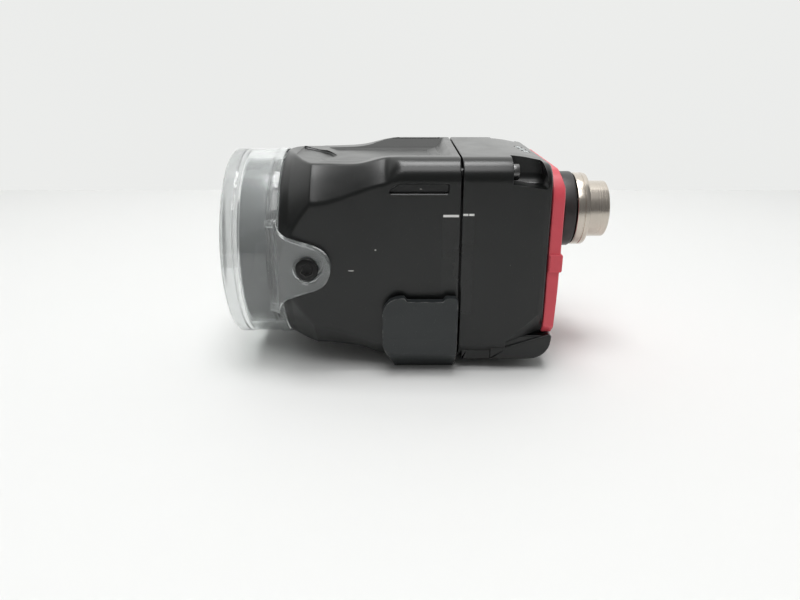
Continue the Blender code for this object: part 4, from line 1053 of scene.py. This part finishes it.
# Mounting shoe.
def makeShoe():
    sizes = shoeSizes
    innerHalf = sizes["half"] - sizes["wall"]

    # Wall, two shallow bends and the flat base, mirrored.
    half, top, base = sizes["half"], sizes["top"] + 1, -axisHeight
    outer = [(half, top, 0.1), (half, -17.6, 1.5), (27.3, -22.1, 1.5), (21.4, base, 1.2)]
    inner = [(innerHalf, top, 0.1), (innerHalf, -17.2, 1.0), (25.3, -21.4, 1.0), (20.5, sizes["plateTop"], 0.8)]
    corners = outer + [(-y, z, r) for y, z, r in reversed(outer)] + [(-y, z, r) for y, z, r in inner]
    outline = rounded(corners + list(reversed(inner)), 5)
    shoe = slab("mountingShoe", outline, "X", [(sizes["front"], 0), (sizes["rear"], 0)])
    side = rounded([(-9.3, -7.0, 4.4), (-3.9, -7.0, 0.5), (-3.3, -7.9, 0.4), (5.5, -7.9, 0.4), (6.1, -7.0, 0.5),
                    (9.1, -7.0, 1.0), (9.1, -25.0, 0.6), (8.2, -30, 0.1), (-5.8, -30, 0.1), (-7.0, -25.6, 1.5),
                    (-9.3, -20.0, 2.0)], 8)
    trim(shoe, slab("side", side, "Y", [(-40, 0), (40, 0)]))
    soften(shoe, sizes["edge"], 3, 40)
    for place in (-sizes["screwY"], sizes["screwY"]):
        sink = [(-25, 0), (-25, 1.8), (-26.0, 1.8), (-27.3, 3.2), (-30, 3.2), (-30, 0)]
        carve(shoe, turned("countersink", sink, 64, "Z", (0, place, 0)))
    return finishPiece(shoe, "shoe_paint", "mounting_shoe")


makeShoe()
print("shoe ready")


# Clear front cover.
clearSizes = {"front": -48.7, "rear": -34.5, "radius": 25.0, "bore": 22.5, "ridge": -37.1,
              "earRadius": 5.6, "earFillet": 4.2, "earNeck": 1.5}


def earOutline():
    sizes = clearSizes
    gap = sizes["earRadius"] + sizes["earFillet"]
    filletX = sizes["rear"] + sizes["earFillet"]
    run = coverScrewX - filletX
    rise = gap + sizes["earNeck"]
    meet = math.degrees(math.atan2(rise, -run) - math.acos(gap / math.hypot(rise, run)))
    upper = arc((filletX, rise), sizes["earFillet"], 180, 180 + meet, 14)
    tip = arc((coverScrewX, 0), sizes["earRadius"], meet, -meet, 44)
    lower = arc((filletX, -rise), sizes["earFillet"], 180 - meet, 180, 14)
    return [(sizes["ridge"], -rise), (sizes["ridge"], rise)] + upper + tip + lower


def makeEar(side):
    outline = earOutline()
    levels = [(20.0, 0.0), (27.2, 0.0), (27.45, -0.06), (27.6, -0.25), (27.62, -0.35)]
    if side < 0:
        levels = [(-along, growth) for along, growth in reversed(levels)]
    ear = slab("ear", outline, "Y", levels)
    lean = [(-37.1, 24.9), (-36.4, 25.35), (-35.6, 25.95), (-34.8, 26.55), (-33.9, 27.05), (-33.0, 27.35),
            (-32.0, 27.52), (-31.0, 27.6), (-18, 27.6), (-18, 25.3), (-34.7, 25.3), (-34.7, 23.2), (-37.1, 23.2)]
    trim(ear, slab("earLean", [(x, side * y) for x, y in lean], "Z", [(-15, 0), (15, 0)]))
    crown = arc((0, 0), 29.2, -30, 30, 24)
    section = [(side * y, z) for y, z in crown] + [(side * 22.7, 15.0), (side * 22.7, -15.0)]
    trim(ear, slab("earCrown", section, "X", [(-40, 0), (-15, 0)]))
    return ear


def makeClearCover():
    front, radius, bore = clearSizes["front"], clearSizes["radius"], clearSizes["bore"]
    profile = [(front + 3.9, 0), (front + 3.9, bore - 0.8), (front + 4.05, bore - 0.3), (front + 4.5, bore),
               (-34.5, bore), (-34.5, radius - 0.25), (-34.6, radius), (-34.85, radius + 0.1),
               (-36.9, radius + 0.1), (-37.15, radius + 0.02), (-37.35, radius - 0.2),
               (front + 3.7, radius - 0.2), (front + 3.5, radius - 0.1), (front + 3.2, radius),
               (front + 1.1, radius), (front + 0.6, radius - 0.1), (front + 0.25, radius - 0.45),
               (front + 0.05, radius - 1.0), (front, radius - 1.4), (front, radius - 2.2),
               (front + 0.15, radius - 2.45), (front + 0.4, radius - 2.6),
               (front + 0.4, 0)]
    cover = turned("clearCover", profile, 160)
    for side in (-1, 1):
        weld(cover, makeEar(side))
        where = (coverScrewX, 0, 0)
        sink = [(25.9, 0), (25.9, 3.2), (26.1, 3.4), (27.3, 3.4), (27.62, 3.72), (30, 3.8), (30, 0)]
        carve(cover, turned("counterbore", sink, 64, "Y", where, side))
        carve(cover, rod("earHole", 1.8, 24, 28, 40, "Y", where, side))
    return finishPiece(cover, "clear_cover", "front_cover", angle=28)


makeClearCover()
print("clear cover ready")


# Light ring and lens.
lightPlaces = []
for i in range(lightCount):
    angle = 2 * math.pi * (i + 0.5) / lightCount
    lightPlaces.append((lightCircle * math.cos(angle), lightCircle * math.sin(angle)))


def makeLightRing():
    back, inner = -31.3, 9.1
    profile = [(back, inner), (back, 20.1), (-37.3, 20.1), (-37.3, 21.9), (-43.9, 21.9), (-44.2, 21.75), (-44.2, 21.3),
               (-44.0, 21.1), (-38.6, 19.4), (-38.6, inner)]
    shroud = turned("lightShroud", profile, 128)
    for y, z in lightPlaces:
        cone = [(-30.3, 0), (-30.3, 2.4), (-31.3, 2.4), (-38.4, 4.1), (-38.62, 4.35), (-39.6, 4.4), (-39.6, 0)]
        carve(shroud, turned("lightCone", cone, 40, "X", (0, y, z)))
    finishPiece(shroud, "shroud_grey", "light_shroud")
    barrel = [(-14.0, 7.0), (-14.0, 8.0), (-24.5, 8.0), (-26.0, 8.6), (-39.6, 8.6), (-39.9, 8.5), (-40.0, 8.2),
              (-40.0, 7.8)]
    for i in range(5):  # stepped rings that face the front lens
        barrel += [(-39.8 + i * 0.55, 7.75 - i * 0.15), (-39.25 + i * 0.55, 7.75 - i * 0.15)]
    barrel += [(-37.0, 7.0), (-33.0, 7.0), (-33.0, 5.6), (-23.0, 5.6), (-23.0, 7.0)]
    finishPiece(turned("lensBarrel", barrel, 96), "lens_black", "lens_barrel")
    dome = []
    for i in range(17):
        share = i / 16
        dome.append((-36.4 - 1.6 * math.cos(share * math.pi / 2), 6.7 * math.sin(share * math.pi / 2)))
    glass = dome + [(-33.3, 6.7), (-33.3, 0)]
    finishPiece(turned("frontLens", glass, 96), "lens_glass", "front_lens")


makeLightRing()
print("light ring ready")


# Repeated parts, set by Geometry Nodes.
def makePatternTree():
    # Sets one part at each point, aimed by the points' own angles and turned a little at random.
    tree = bpy.data.node_groups.new("partPattern", "GeometryNodeTree")
    kinds = (("Points", "NodeSocketGeometry"), ("Part", "NodeSocketObject"), ("Most Turn", "NodeSocketFloat"),
             ("Seed", "NodeSocketInt"), ("Finish", "NodeSocketMaterial"))
    for label, kind in kinds:
        tree.interface.new_socket(label, in_out="INPUT", socket_type=kind)
    tree.interface.new_socket("Geometry", in_out="OUTPUT", socket_type="NodeSocketGeometry")
    given = tree.nodes.new("NodeGroupInput").outputs
    result = tree.nodes.new("NodeGroupOutput").inputs
    part = addNode(tree, "GeometryNodeObjectInfo", {"Object": given["Part"], "As Instance": True})
    aim = addNode(tree, "GeometryNodeInputNamedAttribute", {"Name": "aim"}, data_type="FLOAT_VECTOR")
    facing = addNode(tree, "FunctionNodeEulerToRotation", {0: aim.outputs[0]})
    least = addNode(tree, "ShaderNodeMath", {0: given["Most Turn"], 1: -1.0}, operation="MULTIPLY")
    turn = addNode(tree, "FunctionNodeRandomValue", {"Seed": given["Seed"]}, data_type="FLOAT")
    tree.links.new(least.outputs[0], turn.inputs[2])
    tree.links.new(given["Most Turn"], turn.inputs[3])
    placed = addNode(tree, "GeometryNodeInstanceOnPoints",
                     {"Points": given["Points"], "Instance": part.outputs["Geometry"], "Rotation": facing.outputs[0]})
    about = addNode(tree, "ShaderNodeCombineXYZ", {"Z": turn.outputs[1]})
    spun = addNode(tree, "GeometryNodeRotateInstances", {"Instances": placed.outputs[0], "Rotation": about.outputs[0]})
    real = addNode(tree, "GeometryNodeRealizeInstances", {0: spun.outputs[0]})
    coloured = addNode(tree, "GeometryNodeSetMaterial", {"Geometry": real.outputs[0], "Material": given["Finish"]})
    tree.links.new(coloured.outputs[0], result[0])
    return tree


patternTree = makePatternTree()


def patternPiece(name, part, places, slotName, nodes, mostTurn=0.0, seed=3):
    # places: (point, aim angles); part stands at the origin with its top along +Z.
    mesh = bpy.data.meshes.new(name)
    mesh.from_pydata([metres(*point) for point, aim in places], [], [])
    aims = mesh.attributes.new("aim", "FLOAT_VECTOR", "POINT")
    for entry, (point, aim) in zip(aims.data, places):
        entry.vector = aim
    piece = bpy.data.objects.new(name, mesh)
    scene.collection.objects.link(piece)
    step = piece.modifiers.new("pattern", "NODES")
    step.node_group = patternTree
    values = {"Part": part, "Most Turn": mostTurn, "Seed": seed, "Finish": materials[slotName]}
    for item in patternTree.interface.items_tree:
        if item.item_type == "SOCKET" and item.in_out == "INPUT" and item.name in values:
            step[item.identifier] = values[item.name]
    result = bakedMesh(piece)
    piece.modifiers.remove(step)
    swapMesh(piece, result)
    piece.data.name = name
    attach(piece, "root")
    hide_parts(*nodes)
    return piece


def partObject(name, profile, steps, hexSize, hexDepth, top):
    # A turned screw standing on the origin, with its hex socket cut from the top.
    part = turned(name, profile, steps, "Z", (0, 0, -axisHeight))
    if hexSize:
        acrossCorners = hexSize / math.sqrt(3)
        hexagon = [(top + 1, 0), (top + 1, acrossCorners + 0.25), (top + 0.01, acrossCorners + 0.25),
                   (top - 0.2, acrossCorners), (top - hexDepth, acrossCorners), (top - hexDepth - 0.4, 0)]
        carve(part, turned("hexSocket", hexagon, 6, "Z", (0, 0, -axisHeight)))
    smoothMesh(part, 30)
    return part


def dropPart(part):
    mesh = part.data
    bpy.data.objects.remove(part, do_unlink=True)
    bpy.data.meshes.remove(mesh)


def makeScrews():
    profile = [(1.4, 0), (1.4, 2.35), (1.3, 2.62), (1.1, 2.75), (0.15, 2.75), (0, 2.6), (0, 1.5), (-4.2, 1.5),
               (-4.6, 1.1), (-4.6, 0)]
    screw = partObject("coverScrewPart", profile, 64, 2.5, 0.85, 1.4)
    places = [((coverScrewX, side * 26.2, 0), (-side * quarterTurn, 0, 0)) for side in (-1, 1)]
    patternPiece("coverScrews", screw, places, "screw_black", ["cover_screw_near", "cover_screw_far"], 0.5)
    dropPart(screw)
    profile = [(1.5, 0), (1.5, 1.6), (1.4, 1.82), (1.2, 1.9), (0.1, 1.9), (0, 1.8), (0, 1.0), (-18.7, 1.0),
               (-19.1, 0.6), (-19.1, 0)]
    screw = partObject("bodyScrewPart", profile, 48, 1.5, 0.8, 1.5)
    places = [((21.6, side * rearSizes["screwY"], z), (0, quarterTurn, 0))
              for side in (-1, 1) for z in rearSizes["screwHeights"]]
    patternPiece("bodyScrews", screw, places, "screw_steel", [f"body_screw_{n}" for n in range(1, 5)], 0.5, 5)
    dropPart(screw)
    profile = [(1.9, 0), (1.9, 2.8), (1.8, 2.9), (1.6, 2.9), (0.2, 1.5), (-5.3, 1.5), (-5.8, 1.1), (-5.8, 0)]
    screw = partObject("shoeScrewPart", profile, 48, 2.0, 0.8, 1.9)
    places = [((0, y, -25.8), (math.pi, 0, 0)) for y in (-shoeSizes["screwY"], shoeSizes["screwY"])]
    patternPiece("shoeScrews", screw, places, "screw_black", ["shoe_screw_1", "shoe_screw_2"], 0.5, 7)
    dropPart(screw)


def makeLights():
    # One light chip: square body with a domed top.
    rings = []
    for level, half in ((0.0, 1.5), (0.6, 1.5), (0.62, 1.25), (0.85, 1.1), (0.97, 0.7), (1.0, 0.2)):
        outline = rounded([(half, -half, half * 0.3), (half, half, half * 0.3), (-half, half, half * 0.3),
                           (-half, -half, half * 0.3)], 3)
        rings.append([(a, b, level - axisHeight) for a, b in outline])
    chip = loft("lightChipPart", rings)
    smoothMesh(chip)
    places = [((-31.3, y, z), (0, -quarterTurn, 0)) for y, z in lightPlaces]
    patternPiece("lightChips", chip, places, "light_white", [f"light_{n}" for n in range(1, lightCount + 1)])
    dropPart(chip)


def makeWindows():
    profile = [(0.45, 0), (0.42, 0.45), (0.3, 0.8), (0.1, 1.0), (-2.2, 1.0), (-2.2, 0)]
    window = partObject("windowPart", profile, 40, 0, 0, 0.3)
    places = [((27.6, -3.6, 24.46), (0, 0.2, 0)), ((27.2, 0.0, 24.54), (0, 0.2, 0)), ((26.8, 3.6, 24.61), (0, 0.2, 0))]
    patternPiece("statusWindows", window, places, "window_plastic", [f"status_window_{n}" for n in range(1, 4)])
    dropPart(window)


makeScrews()
makeLights()
makeWindows()
print("repeated parts ready")


# The other nodes keep their own mesh.
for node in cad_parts.values():
    for index, slotMaterial in enumerate(node.data.materials):
        name = slotMaterial.name.split(".")[0] if slotMaterial else ""
        if name in materials:
            node.data.materials[index] = materials[name]
